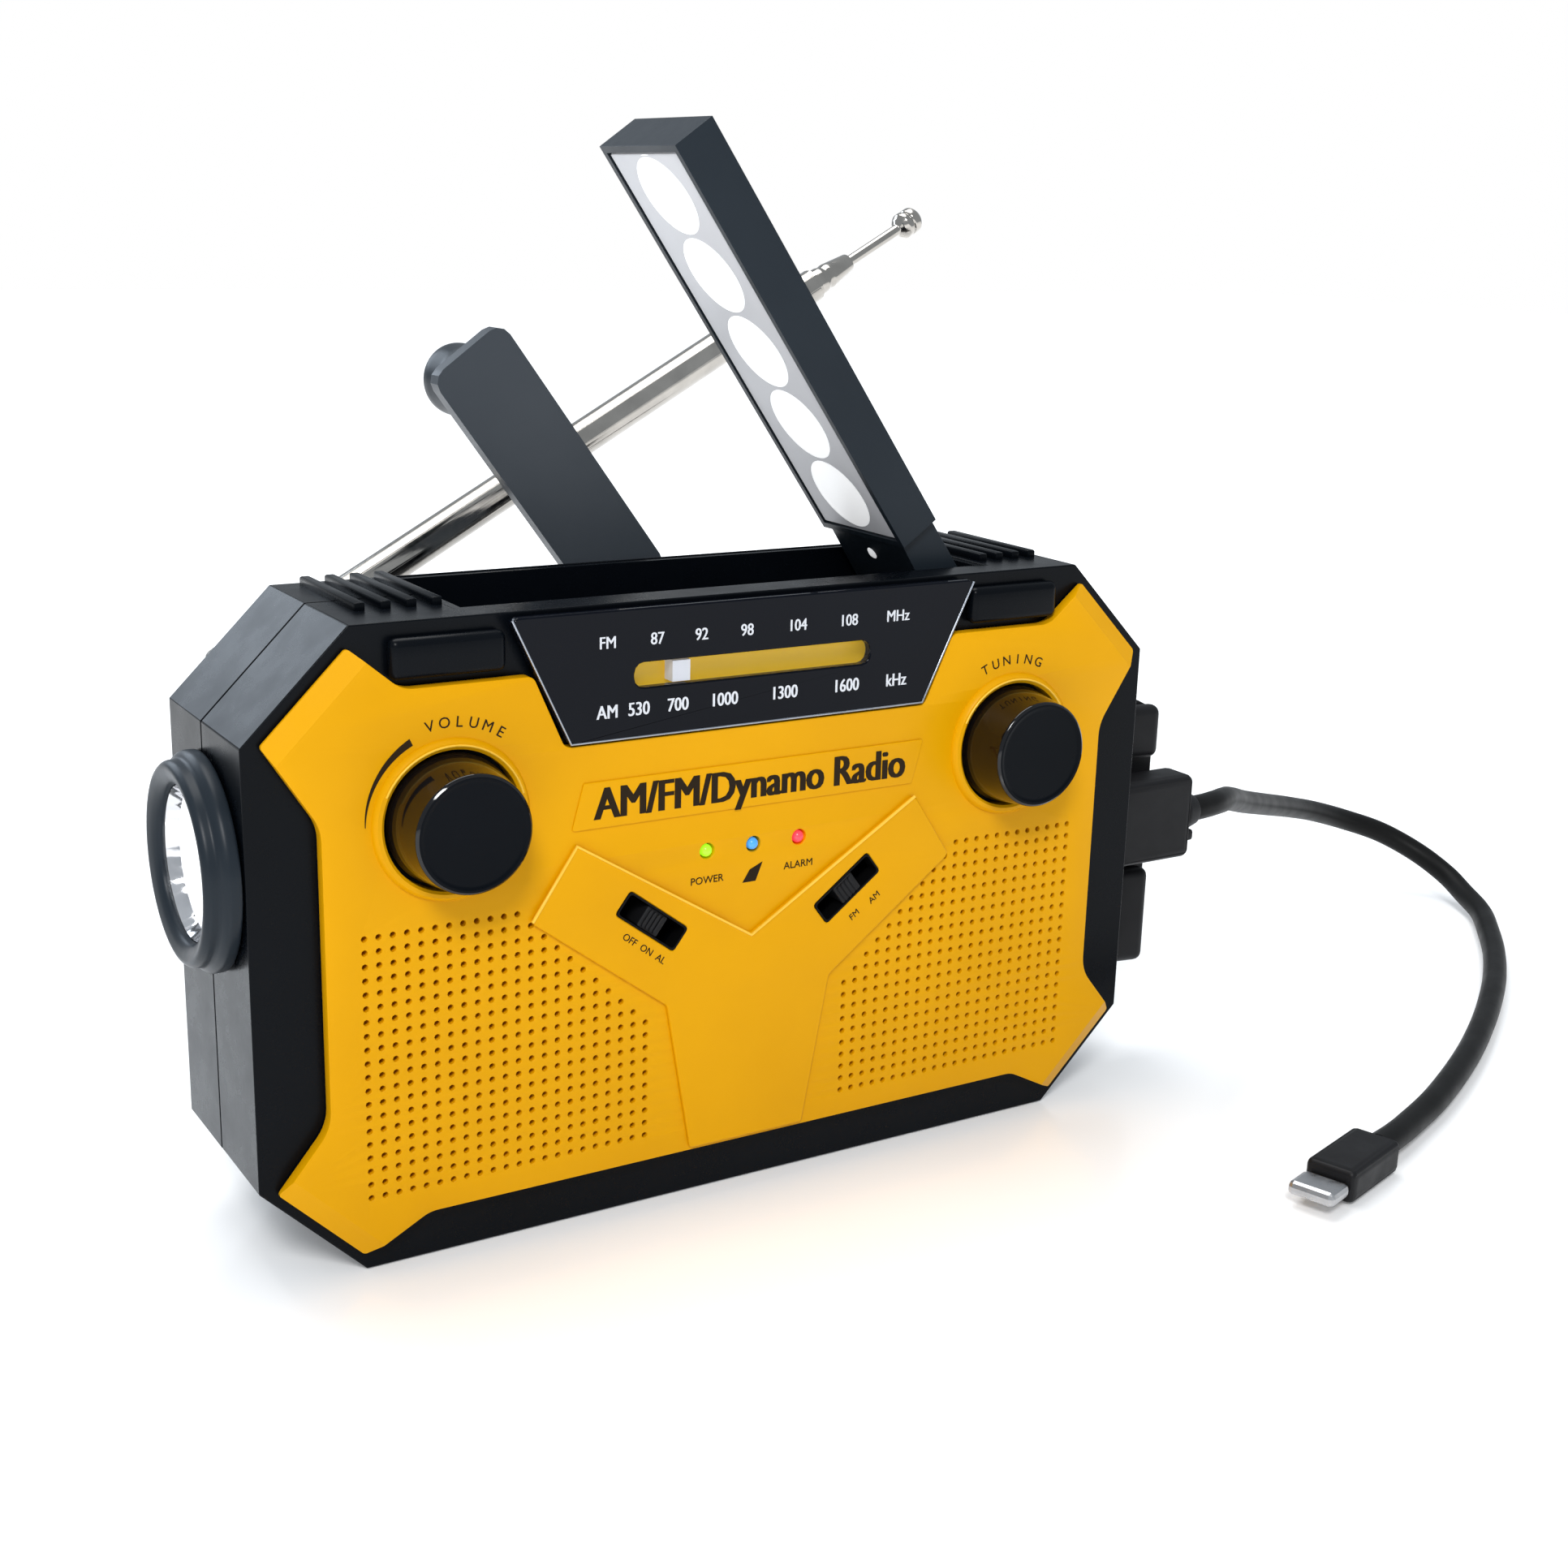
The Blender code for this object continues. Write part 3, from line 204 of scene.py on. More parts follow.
def noise(tree, scale, detail=4.0, roughness=0.5):
    place = tree.nodes.new("ShaderNodeTexCoord")
    node = tree.nodes.new("ShaderNodeTexNoise")
    node.inputs["Scale"].default_value = scale
    node.inputs["Detail"].default_value = detail
    node.inputs["Roughness"].default_value = roughness
    tree.links.new(place.outputs["Object"], node.inputs["Vector"])
    return node.outputs["Fac"]


def ramp(tree, source, low, high, start=0.3, end=0.7):
    node = tree.nodes.new("ShaderNodeMapRange")
    node.inputs["From Min"].default_value = start
    node.inputs["From Max"].default_value = end
    node.inputs["To Min"].default_value = low
    node.inputs["To Max"].default_value = high
    tree.links.new(source, node.inputs["Value"])
    return node.outputs["Result"]


def blend_colour(tree, factor, first, second):
    node = tree.nodes.new("ShaderNodeMix")
    node.data_type = "RGBA"
    node.inputs["A"].default_value = (*first, 1.0)
    node.inputs["B"].default_value = (*second, 1.0)
    tree.links.new(factor, node.inputs["Factor"])
    return node.outputs["Result"]


def bump(tree, shader, height, strength, distance):
    node = tree.nodes.new("ShaderNodeBump")
    node.inputs["Strength"].default_value = strength
    node.inputs["Distance"].default_value = distance * MM
    tree.links.new(height, node.inputs["Height"])
    tree.links.new(node.outputs["Normal"], shader.inputs["Normal"])


def moulded(name, colour, other, roughness, grain, shine=0.5):
    """Moulded plastic: slight mottling, uneven gloss and a fine eroded grain."""
    material, tree, shader = shader_parts(name, colour, sum(roughness) / 2)
    shader.inputs["Specular IOR Level"].default_value = shine
    broad = noise(tree, 35.0, 3.0)
    tree.links.new(blend_colour(tree, ramp(tree, broad, 0.0, 1.0), colour, other),
                   shader.inputs["Base Color"])
    patchy = noise(tree, 160.0, 5.0, 0.6)
    tree.links.new(ramp(tree, patchy, *roughness), shader.inputs["Roughness"])
    bump(tree, shader, noise(tree, 5000.0, 2.0), grain, 0.02)
    return material


def glowing(name, colour, strength, roughness):
    """Moulded plastic that glows: lit from inside for the lamps and LEDs, and painted light on
    the dial and the lamp's screw.
    """
    darker = tuple(c * 0.92 for c in colour)
    material = moulded(name, colour, darker, (roughness, roughness + 0.1), 0.05)
    shader = material.node_tree.nodes["Principled BSDF"]
    shader.inputs["Emission Color"].default_value = (*colour, 1.0)
    shader.inputs["Emission Strength"].default_value = strength
    return material


def solar_material():
    """Dark cells with fine silver fingers across them."""
    material, tree, shader = shader_parts("solar", (0.01, 0.015, 0.05), 0.12)
    place = tree.nodes.new("ShaderNodeTexCoord")
    cells = tree.nodes.new("ShaderNodeTexBrick")
    cells.offset = 0.0
    cells.inputs["Color1"].default_value = (0.008, 0.014, 0.05, 1.0)
    cells.inputs["Color2"].default_value = (0.012, 0.02, 0.065, 1.0)
    cells.inputs["Mortar"].default_value = (0.45, 0.46, 0.5, 1.0)
    cells.inputs["Scale"].default_value = 1.0
    cells.inputs["Mortar Size"].default_value = 0.00012
    cells.inputs["Mortar Smooth"].default_value = 0.0
    cells.inputs["Brick Width"].default_value = 0.0146
    cells.inputs["Row Height"].default_value = 0.0022
    tilt = tree.nodes.new("ShaderNodeMapping")
    tilt.inputs["Rotation"].default_value = (0.0, radians(LAMP_OPEN), 0.0)
    tree.links.new(place.outputs["Object"], tilt.inputs["Vector"])
    flat = tree.nodes.new("ShaderNodeSeparateXYZ")
    tree.links.new(tilt.outputs["Vector"], flat.inputs["Vector"])
    joined = tree.nodes.new("ShaderNodeCombineXYZ")
    tree.links.new(flat.outputs["X"], joined.inputs["X"])
    tree.links.new(flat.outputs["Y"], joined.inputs["Y"])
    tree.links.new(joined.outputs["Vector"], cells.inputs["Vector"])
    tree.links.new(cells.outputs["Color"], shader.inputs["Base Color"])
    bump(tree, shader, cells.outputs["Fac"], 0.1, 0.02)
    return material


def metal(name, colour, roughness, grain):
    """Plated or plain metal with faint mottling, uneven gloss and a fine grain."""
    material, tree, shader = shader_parts(name, colour, roughness[0], 1.0)
    broad = noise(tree, 220.0, 4.0)
    darker = tuple(c * 0.82 for c in colour)
    tree.links.new(blend_colour(tree, ramp(tree, broad, 0.0, 1.0), colour, darker),
                   shader.inputs["Base Color"])
    tree.links.new(ramp(tree, noise(tree, 900.0, 5.0), *roughness), shader.inputs["Roughness"])
    bump(tree, shader, noise(tree, 2500.0, 2.0), grain, 0.01)
    return material


def clear(name, colour, roughness):
    """Thin clear plastic, which lets most light straight through."""
    material, tree, shader = shader_parts(name, colour, roughness)
    shader.inputs["Alpha"].default_value = 0.1
    tree.links.new(ramp(tree, noise(tree, 300.0), roughness, roughness + 0.06),
                   shader.inputs["Roughness"])
    bump(tree, shader, noise(tree, 500.0), 0.05, 0.02)
    return material


# Each plastic's two colours, its lowest and highest roughness, its grain and its shine
PLASTICS = {
    "yellow": ((0.72, 0.345, 0.0), (0.67, 0.315, 0.0), (0.32, 0.4), 0.12, 0.1),
    # A lighter yellow for painted highlight lines on the raised Y and the knob lips
    "yellow_edge": ((0.92, 0.56, 0.06), (0.86, 0.5, 0.04), (0.25, 0.32), 0.05, 0.3),
    "shell": ((0.0015, 0.0022, 0.0034), (0.0022, 0.0032, 0.005), (0.24, 0.32), 0.08, 0.09),
    "slate": ((0.012, 0.017, 0.023), (0.016, 0.022, 0.029), (0.3, 0.4), 0.1, 0.16),
    "arm": ((0.04, 0.048, 0.058), (0.05, 0.058, 0.068), (0.3, 0.4), 0.1, 0.2),
    "gloss": ((0.0015, 0.002, 0.0045), (0.002, 0.003, 0.006), (0.03, 0.07), 0.02, 0.12),
    "knob": ((0.002, 0.002, 0.003), (0.003, 0.003, 0.004), (0.05, 0.1), 0.02, 0.45),
    "knob_cap": ((0.001, 0.002, 0.0035), (0.002, 0.003, 0.005), (0.26, 0.34), 0.06, 0.07),
    "rubber": ((0.005, 0.005, 0.006), (0.008, 0.008, 0.009), (0.42, 0.55), 0.2, 0.2),
    "cable": ((0.006, 0.006, 0.006), (0.009, 0.009, 0.009), (0.4, 0.5), 0.12, 0.1),
    "dark": ((0.002, 0.002, 0.002), (0.003, 0.003, 0.004), (0.5, 0.6), 0.1, 0.1),
    "white": ((0.83, 0.84, 0.86), (0.78, 0.79, 0.82), (0.3, 0.4), 0.05, 0.5),
    "ink": ((0.012, 0.006, 0.001), (0.02, 0.01, 0.002), (0.5, 0.6), 0.05, 0.15),
    "board": ((0.02, 0.13, 0.06), (0.03, 0.16, 0.07), (0.35, 0.5), 0.2, 0.5),
    "wrap": ((0.03, 0.2, 0.42), (0.04, 0.23, 0.46), (0.25, 0.35), 0.05, 0.5),
}
# Each glowing plastic's colour, strength and roughness; print, scale and pointer glow as painted
# light on the dial, and lamp_spot also paints a highlight on the lamp's screw
LIT = {
    "print": ((0.62, 0.64, 0.68), 0.1, 0.4),
    "scale": ((0.86, 0.52, 0.008), 0.38, 0.35),
    "pointer": ((0.72, 0.74, 0.8), 0.2, 0.35),
    "diffuser": ((0.6, 0.6, 0.62), 0.12, 0.4),
    "lamp_spot": ((0.93, 0.93, 0.93), 0.5, 0.3),
    "green": ((0.3, 0.9, 0.02), 0.8, 0.2),
    "blue": ((0.06, 0.3, 0.75), 0.5, 0.2),
    "red": ((0.9, 0.05, 0.08), 0.6, 0.2),
    "beam": ((0.96, 0.97, 1.0), 0.85, 0.2),
}
# Each metal's colour, its lowest and highest roughness, and its grain
METALS = {
    "chrome": ((0.5, 0.47, 0.43), (0.08, 0.18), 0.03),
    "steel": ((0.5, 0.5, 0.51), (0.25, 0.4), 0.08),
    "edge": ((0.4, 0.43, 0.48), (0.25, 0.35), 0.03),
    "bright": ((0.88, 0.88, 0.9), (0.06, 0.14), 0.02),
}
MATERIALS = {"clear": clear("clear", (0.04, 0.04, 0.045), 0.03), "solar": solar_material()}
for make, looks in ((moulded, PLASTICS), (glowing, LIT), (metal, METALS)):
    for look_name, values in looks.items():
        MATERIALS[look_name] = make(look_name, *values)

# The material of each CAD node that no piece stands for
NODE_LOOKS = {
    # The dial plate's scale and the pointer glow as painted light
    "dial_plate": "scale", "dial_pointer": "pointer", "volume_shaft": "steel",
    "tuning_drum": "white", "volume_pot": "steel", "tuning_capacitor": "white",
    "left_switch_body": "dark", "right_switch_body": "dark", "speaker_left": "dark",
    "speaker_right": "dark", "main_board": "board", "lamp_tray": "shell",
    "lamp_led_board": "board", "solar_panel": "solar", "lamp_hinge_pin": "steel",
    "crank_fold_pin": "steel", "crank_shaft": "white", "idler_gear": "white",
    "dynamo_rotor": "steel", "dynamo_case": "steel", "antenna_tilt_pin": "steel",
    "antenna_knuckle": "chrome", "antenna_tube": "chrome", "torch_led": "white",
    "port_block": "dark", "usb_a_socket": "steel", "micro_usb_socket": "steel",
    "usb_plug_shell": "steel", "phone_plug_tip": "steel", "battery_cell": "wrap",
    "case_screw_1": "steel", "case_screw_2": "steel", "case_screw_3": "steel",
    "case_screw_4": "steel",
}


def dress_nodes():
    for name, look in NODE_LOOKS.items():
        mesh = frame["nodes"][name].data
        mesh.materials.clear()
        mesh.materials.append(MATERIALS[look])


# ---------------------------------------------------------------- mesh helpers

def link(name, mesh, material, body):
    """Make a piece of a mesh, which rides on a body and takes its finish from the named material.
    """
    obj = bpy.data.objects.new(name, mesh)
    scene.collection.objects.link(obj)
    mesh.materials.clear()
    mesh.materials.append(MATERIALS[material])
    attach(obj, body)
    return obj


def finish_mesh(name, bm):
    mesh = bpy.data.meshes.new(name)
    bm.normal_update()
    bm.to_mesh(mesh)
    bm.free()
    mesh.shade_smooth()
    mesh.set_sharp_from_angle(angle=radians(32))
    return mesh


def mesh_of_curve(curve):
    """The mesh of a curve or a text."""
    source = bpy.data.objects.new(curve.name, curve)
    scene.collection.objects.link(source)
    bpy.context.view_layer.update()
    graph = bpy.context.evaluated_depsgraph_get()
    mesh = bpy.data.meshes.new_from_object(source.evaluated_get(graph))
    bpy.data.objects.remove(source, do_unlink=True)
    return mesh


def arc(centre, radius, start, end, steps):
    angles = [start + (end - start) * i / steps for i in range(steps + 1)]
    return [(centre[0] + radius * cos(a), centre[1] + radius * sin(a)) for a in angles]


def rounded(corners, radius, steps=5):
    """A closed outline with an arc at each corner; radius is one number or one for each."""
    count = len(corners)
    radii = radius if isinstance(radius, list) else [radius] * count
    points = []
    for i, corner in enumerate(corners):
        here = Vector(corner)
        before = (Vector(corners[i - 1]) - here).normalized()
        after = (Vector(corners[(i + 1) % count]) - here).normalized()
        if radii[i] <= 0.0 or before.angle(after) > 3.1:
            points.append(tuple(corner))
            continue
        half = before.angle(after) / 2
        middle = here + (before + after).normalized() * radii[i] / sin(half)
        first = here + before * radii[i] * cos(half) / sin(half) - middle
        last = here + after * radii[i] * cos(half) / sin(half) - middle
        start = atan2(first.y, first.x)
        sweep = (atan2(last.y, last.x) - start + pi) % tau - pi
        points += arc(middle, radii[i], start, start + sweep, steps)
    return points


def sheet_mesh(name, outlines, y0, y1, edge=0.0, edge_steps=2):
    """Flat outlines in XZ, the later ones being holes, with thickness and a rounded rim."""
    curve = bpy.data.curves.new(name, "CURVE")
    curve.dimensions = "2D"
    curve.fill_mode = "BOTH"
    curve.extrude = ((y1 - y0) / 2 - edge) * MM
    curve.bevel_depth = edge * MM
    curve.bevel_resolution = edge_steps
    curve.offset = -edge * MM
    for outline in outlines:
        spline = curve.splines.new("POLY")
        spline.points.add(len(outline) - 1)
        for point, (x, z) in zip(spline.points, outline):
            point.co = (x * MM, z * MM, 0.0, 1.0)
        spline.use_cyclic_u = True
    mesh = mesh_of_curve(curve)
    middle = Matrix.Translation(world(0, (y0 + y1) / 2, 0))
    mesh.transform(middle @ Matrix.Rotation(pi / 2, 4, "X"))
    bm = bmesh.new()
    bm.from_mesh(mesh)
    bmesh.ops.remove_doubles(bm, verts=bm.verts, dist=MERGE)
    bm.normal_update()
    return finish_mesh(name, bm)


def lathe_mesh(name, profile, base, axis, sides=72, grooves=0, depth=0.0, band=(0.0, 0.0)):
    """A turned surface through (radius, height) points, open at an end off the axis.

    Grooves as deep as depth run along its side between the two heights in band.
    """
    bm = bmesh.new()
    turn = Vector(axis).to_track_quat("Z", "Y").to_matrix().to_4x4()
    place = Matrix.Translation(world(*base)) @ turn
    rings = []
    for radius, height in profile:
        ring = []
        if radius <= 0.0:
            rings.append([bm.verts.new(place @ Vector((0, 0, height * MM)))])
            continue
        for i in range(sides):
            angle = tau * i / sides
            cut = 0.0
            if grooves and band[0] <= height <= band[1]:
                cut = depth * (0.5 - 0.5 * cos(angle * grooves))
            r = (radius - cut) * MM
            ring.append(bm.verts.new(place @ Vector((r * cos(angle), r * sin(angle),
                                                     height * MM))))
        rings.append(ring)
    for upper, lower in zip(rings, rings[1:]):
        for i in range(sides):
            j = (i + 1) % sides
            if len(upper) == 1 and len(lower) == 1:
                break
            if len(upper) == 1:
                bm.faces.new((upper[0], lower[i], lower[j]))
            elif len(lower) == 1:
                bm.faces.new((upper[i], lower[0], upper[j]))
            else:
                bm.faces.new((upper[i], lower[i], lower[j], upper[j]))
    bmesh.ops.recalc_face_normals(bm, faces=bm.faces)
    return finish_mesh(name, bm)


def fillet(profile, radius, steps=3):
    """Round all the points of a turned profile but its two ends."""
    points = [profile[0]]
    for a, b, c in zip(profile, profile[1:], profile[2:]):
        here, before, after = Vector(b), Vector(a) - Vector(b), Vector(c) - Vector(b)
        room = min(before.length, after.length) * 0.45
        r = min(radius, room)
        start, end = here + before.normalized() * r, here + after.normalized() * r
        for i in range(steps + 1):
            t = i / steps
            points.append(tuple(start * (1 - t) ** 2 + here * 2 * t * (1 - t) + end * t * t))
    return [*points, profile[-1]]


def softened(node, width, material, body, angle=30, segments=3, chosen=None):
    """A copy of a CAD node with its sharp edges rounded, which stands for the node.

    Triangles that lie in one plane are joined first, so that only real edges are rounded.
    """
    bm = bmesh.new()
    bm.from_mesh(frame["nodes"][node].data)
    bmesh.ops.remove_doubles(bm, verts=bm.verts, dist=MERGE)
    bmesh.ops.dissolve_limit(bm, angle_limit=radians(0.6), verts=bm.verts, edges=bm.edges)
    bm.normal_update()
    weight = bm.edges.layers.float.new("bevel_weight_edge")
    for edge in bm.edges:
        sharp = len(edge.link_faces) == 2 and edge.calc_face_angle() > radians(angle)
        if sharp and (chosen is None or chosen(edge)):
            edge[weight] = 1.0
    mesh = bpy.data.meshes.new(node + "_shown")
    bm.to_mesh(mesh)
    bm.free()
    obj = link(node + "_shown", mesh, material, body)
    bevel = obj.modifiers.new("Bevel", "BEVEL")
    bevel.limit_method = "WEIGHT"
    bevel.width = width * MM
    bevel.segments = segments
    bevel.use_clamp_overlap = True
    mesh.shade_smooth()
    mesh.set_sharp_from_angle(angle=radians(35))
    even = obj.modifiers.new("Even", "WEIGHTED_NORMAL")
    even.keep_sharp = True
    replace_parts(obj, node)
    return obj


def block_mesh(name, x0, x1, y0, y1, z0, z1, edge, steps=2):
    """A block with rounded edges."""
    bm = bmesh.new()
    bmesh.ops.create_cube(bm, size=1.0)
    size = Matrix.Diagonal(((x1 - x0) * MM, (y1 - y0) * MM, (z1 - z0) * MM, 1.0))
    centre = world((x0 + x1) / 2, (y0 + y1) / 2, (z0 + z1) / 2)
    bm.transform(Matrix.Translation(centre) @ size)
    bmesh.ops.bevel(bm, geom=list(bm.edges), offset=edge * MM, segments=steps, profile=0.5,
                    affect="EDGES", clamp_overlap=True)
    return finish_mesh(name, bm)


def tube_mesh(name, points, radius):
    curve = bpy.data.curves.new(name, "CURVE")
    curve.dimensions = "3D"
    curve.bevel_depth = radius * MM
    curve.bevel_resolution = 3
    curve.use_fill_caps = True
    spline = curve.splines.new("POLY")
    spline.points.add(len(points) - 1)
    for point, place in zip(spline.points, points):
        point.co = (*world(*place), 1.0)
    mesh = mesh_of_curve(curve)
    mesh.shade_smooth()
    return mesh


def text_mesh(words, size, x, z, y, turn=0.0, squeeze=1.0):
    """Words that face the front, centred on a place and turned about it."""
    curve = bpy.data.curves.new("words", "FONT")
    curve.body = words
    curve.size = size * MM
    curve.align_x = "CENTER"
    curve.align_y = "CENTER"
    curve.extrude = 0.03 * MM
    curve.resolution_u = 3
    mesh = mesh_of_curve(curve)
    place = Matrix.Translation(world(x, y, z)) @ Matrix.Rotation(pi / 2, 4, "X")
    place = place @ Matrix.Rotation(turn, 4, "Z") @ Matrix.Diagonal((squeeze, 1.0, 1.0, 1.0))
    mesh.transform(place)
    return mesh


def bold_text(words, size, x, z, y, weight, **style):
    """Heavier letters, from copies side by side."""
    return [text_mesh(words, size, x + weight * i, z, y - 0.004 * i, **style)
            for i in (-1.0, -0.33, 0.33, 1.0)]


def merged(name, meshes):
    """One mesh of all the given ones, which are removed."""
    bm = bmesh.new()
    for mesh in meshes:
        bm.from_mesh(mesh)
        bpy.data.meshes.remove(mesh)
    mesh = bpy.data.meshes.new(name)
    bm.to_mesh(mesh)
    bm.free()
    return mesh


def circle(x, z, radius, sides):
    return [(x + radius * cos(tau * i / sides), z + radius * sin(tau * i / sides))
            for i in range(sides)]


# ---------------------------------------------------------------- case

def slot_outline(side, long=12.5, wide=4.3, shift=0.0):
    """A switch slot, or a shape in line with it that is moved along it by shift."""
    slope = radians(SLOT_SLOPE) * side
    along = Vector((cos(slope), sin(slope)))
    across = Vector((-along.y, along.x))
    centre = Vector((side * SLOT_X, SLOT_Z)) + along * shift
    corners = [tuple(centre + along * u * long / 2 + across * v * wide / 2)
               for u, v in ((-1, -1), (1, -1), (1, 1), (-1, 1))]
    return rounded(corners, 0.5, 2)


def grille_holes():
    """Rows of small holes over each speaker, cut off along the raised Y."""
    holes = []
    for side in (-1, 1):
        for column in range(GRILLE_HOLES[0]):
            for row in range(GRILLE_HOLES[1]):
                x = GRILLE_X + column * GRILLE_PITCH[0]
                z = GRILLE_Z + row * GRILLE_PITCH[1]
                if z <= GRILLE_EDGE_Z + (x - GRILLE_X) * GRILLE_EDGE_SLOPE:
                    holes.append(circle(side * x, z, GRILLE_HOLE_RADIUS, 8))
    return holes


def panel_outline():
    """The panel's edge, which leaves room for the dial above and steps in at each side."""
    half, low, high, cut = PANEL_HALF, PANEL_LOW, PANEL_HIGH, PANEL_CUT
    waist, foot, dial = 69.3, 8.2, 88.5
    corners = [
        (-half, low + cut), (-half + cut, low), (-54.5, foot), (54.5, foot),
        (half - cut, low), (half, low + cut), (waist, 25.0), (waist, 70.0),
        (half, high - cut), (half - cut, high), (57.0, dial), (37.1, dial), (32.1, 77.3),
        (-32.1, 77.3), (-37.1, dial), (-57.0, dial), (-half + cut, high),
        (-half, high - cut), (-waist, 70.0), (-waist, 25.0),
    ]
    radii = [0.6, 0.6, 5.0, 5.0, 0.6, 0.6, 7.0, 7.0, 0.6, 0.6, 5.0, 1.5, 1.6,
             1.6, 1.5, 5.0, 0.6, 0.6, 7.0, 7.0]
    return rounded(corners, radii, 6)


def clip_corners(mesh, reach, drop):
    """Slope the panel's four cut corners back, by drop in depth over reach across."""
    bm = bmesh.new()
    bm.from_mesh(mesh)
    for side in (-1, 1):
        for up in (-1, 1):
            x = side * (PANEL_HALF - PANEL_CUT / 2)
            z = PANEL_HIGH - PANEL_CUT / 2 if up > 0 else PANEL_LOW + PANEL_CUT / 2
            outward = Vector((side, 0.0, up)).normalized()
            point = world(x, 0.0, z) - outward * reach * MM
            normal = (outward * drop + Vector(FRONTWARDS) * reach).normalized()
            result = bmesh.ops.bisect_plane(
                bm, geom=bm.verts[:] + bm.edges[:] + bm.faces[:], plane_co=point,
                plane_no=normal, clear_outer=True, dist=1e-7)
            rim = [e for e in result["geom_cut"] if isinstance(e, bmesh.types.BMEdge)]
            bmesh.ops.contextual_create(bm, geom=rim)
    bm.normal_update()
    bm.to_mesh(mesh)
    bm.free()
    mesh.shade_smooth()
    mesh.set_sharp_from_angle(angle=radians(25))


def make_panel():
    holes = [circle(side * KNOB_X, KNOB_Z, 10.5, 64) for side in (-1, 1)]
    holes += [circle(x, LED_Z, 1.3, 20) for x, _ in LEDS.values()]
    slots = [slot_outline(side) for side in (-1, 1)]
    outlines = [panel_outline(), *holes, *slots, *grille_holes()]
    mesh = sheet_mesh("panel_shown", outlines, 0.0, PANEL_THICK, 0.14)
    clip_corners(mesh, 3.0, 1.5)
    panel = link("panel_shown", mesh, "yellow", "case")
    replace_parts(panel, "front_panel")


def make_raised_y():
    """The raised Y, a painted highlight line along its upper edge and the strip under the words.
    """
    radii = [0.6, 1.0, 1.0, 1.5, 0.6, 0.6, 1.5, 1.0, 1.0]
    outlines = [rounded(PLATEAU, radii), slot_outline(-1), slot_outline(1)]
    raised = sheet_mesh("raised_y", outlines, PLATEAU_Y, 0.2, 0.36, 4)
    link("raised_y", raised, "yellow", "case")
    # A lighter yellow tube along the Y's upper edges: painted highlight
    ridge = [(-37.8, -0.66, 51.4), (-30.5, -0.66, 62.2), (0.0, -0.66, 43.3), (30.5, -0.66, 62.2)]
    highlight_line = tube_mesh("raised_edge_highlight", ridge, 0.26)
    link("raised_edge_highlight", highlight_line, "yellow_edge", "case")
    strip = rounded([(-31.2, 64.4), (30.0, 64.4), (32.0, 71.6), (-29.2, 71.6)], 0.4, 3)
    label = sheet_mesh("label_strip", [strip], -0.28, 0.2, 0.12)
    link("label_strip", label, "yellow", "case")


def make_knob_surround(label, side):
    """A knob's raised lip, a painted highlight arc on the lip's upper half and the well inside
    it.
    """
    base = (side * KNOB_X, 0, KNOB_Z)
    lip = [(10.45, 0.2), (10.5, 0.75), (10.9, 1.05), (11.5, 0.95), (11.95, 0.5), (12.1, -0.1)]
    name = f"{label}_knob_lip"
    link(name, lathe_mesh(name, lip, base, FRONTWARDS, 96), "yellow", "case")
    # A lighter yellow arc round the lip's upper half: painted highlight
    name = f"{label}_knob_lip_highlight"
    radius, low, turn, count = 11.1, 15, 5, 29
    highlight_arc = [(side * KNOB_X + radius * cos(angle), -1.0, KNOB_Z + radius * sin(angle))
             for angle in (radians(low + turn * i) for i in range(count))]
    link(name, tube_mesh(name, highlight_arc, 0.17), "yellow_edge", "case")
    name = f"{label}_knob_well"
    well = [(10.6, 0.3), (10.6, -2.2), (8.0, -2.3)]
    link(name, lathe_mesh(name, well, base, FRONTWARDS, 72), "dark", "case")


def make_openings():
    """Dark linings inside the switch slots, and the cloth behind the grille."""
    for label, side in SIDES:
        name = f"{label}_slot_lining"
        outlines = [slot_outline(side), slot_outline(side, 11.9, 3.7)]
        lining = sheet_mesh(name, outlines, PLATEAU_Y - 0.02, 2.0)
        link(name, lining, "dark", "case")
    cloth = [(-64, 11), (64, 11), (64, 55), (-64, 55)]
    outlines = [cloth, slot_outline(-1, 14, 6), slot_outline(1, 14, 6)]
    backing = sheet_mesh("grille_cloth", outlines, PANEL_THICK + 0.02, 2.3)
    link("grille_cloth", backing, "ink", "case")


def on_outside(vertex):
    """Whether a shell's vertex lies on the outer eight-sided surface or its rear chamfer."""
    near = 0.05
    x, z = abs(vertex.co.x) / MM, vertex.co.z / MM
    inset = min(CASE_HALF - x, z, CASE_TOP - z,
                (CASE_HALF + CASE_TOP - CASE_CUT - x - z) / sqrt(2.0),
                (CASE_HALF - CASE_CUT + z - x) / sqrt(2.0))
    behind = vertex.co.y / MM + HALF_DEPTH - REAR_CHAMFER_Y
    return abs(inset) < max(0.0, behind) + near


def outer_edge(edge):
    return all(on_outside(vertex) for vertex in edge.verts) and edge.calc_length() > SHORTEST_EDGE


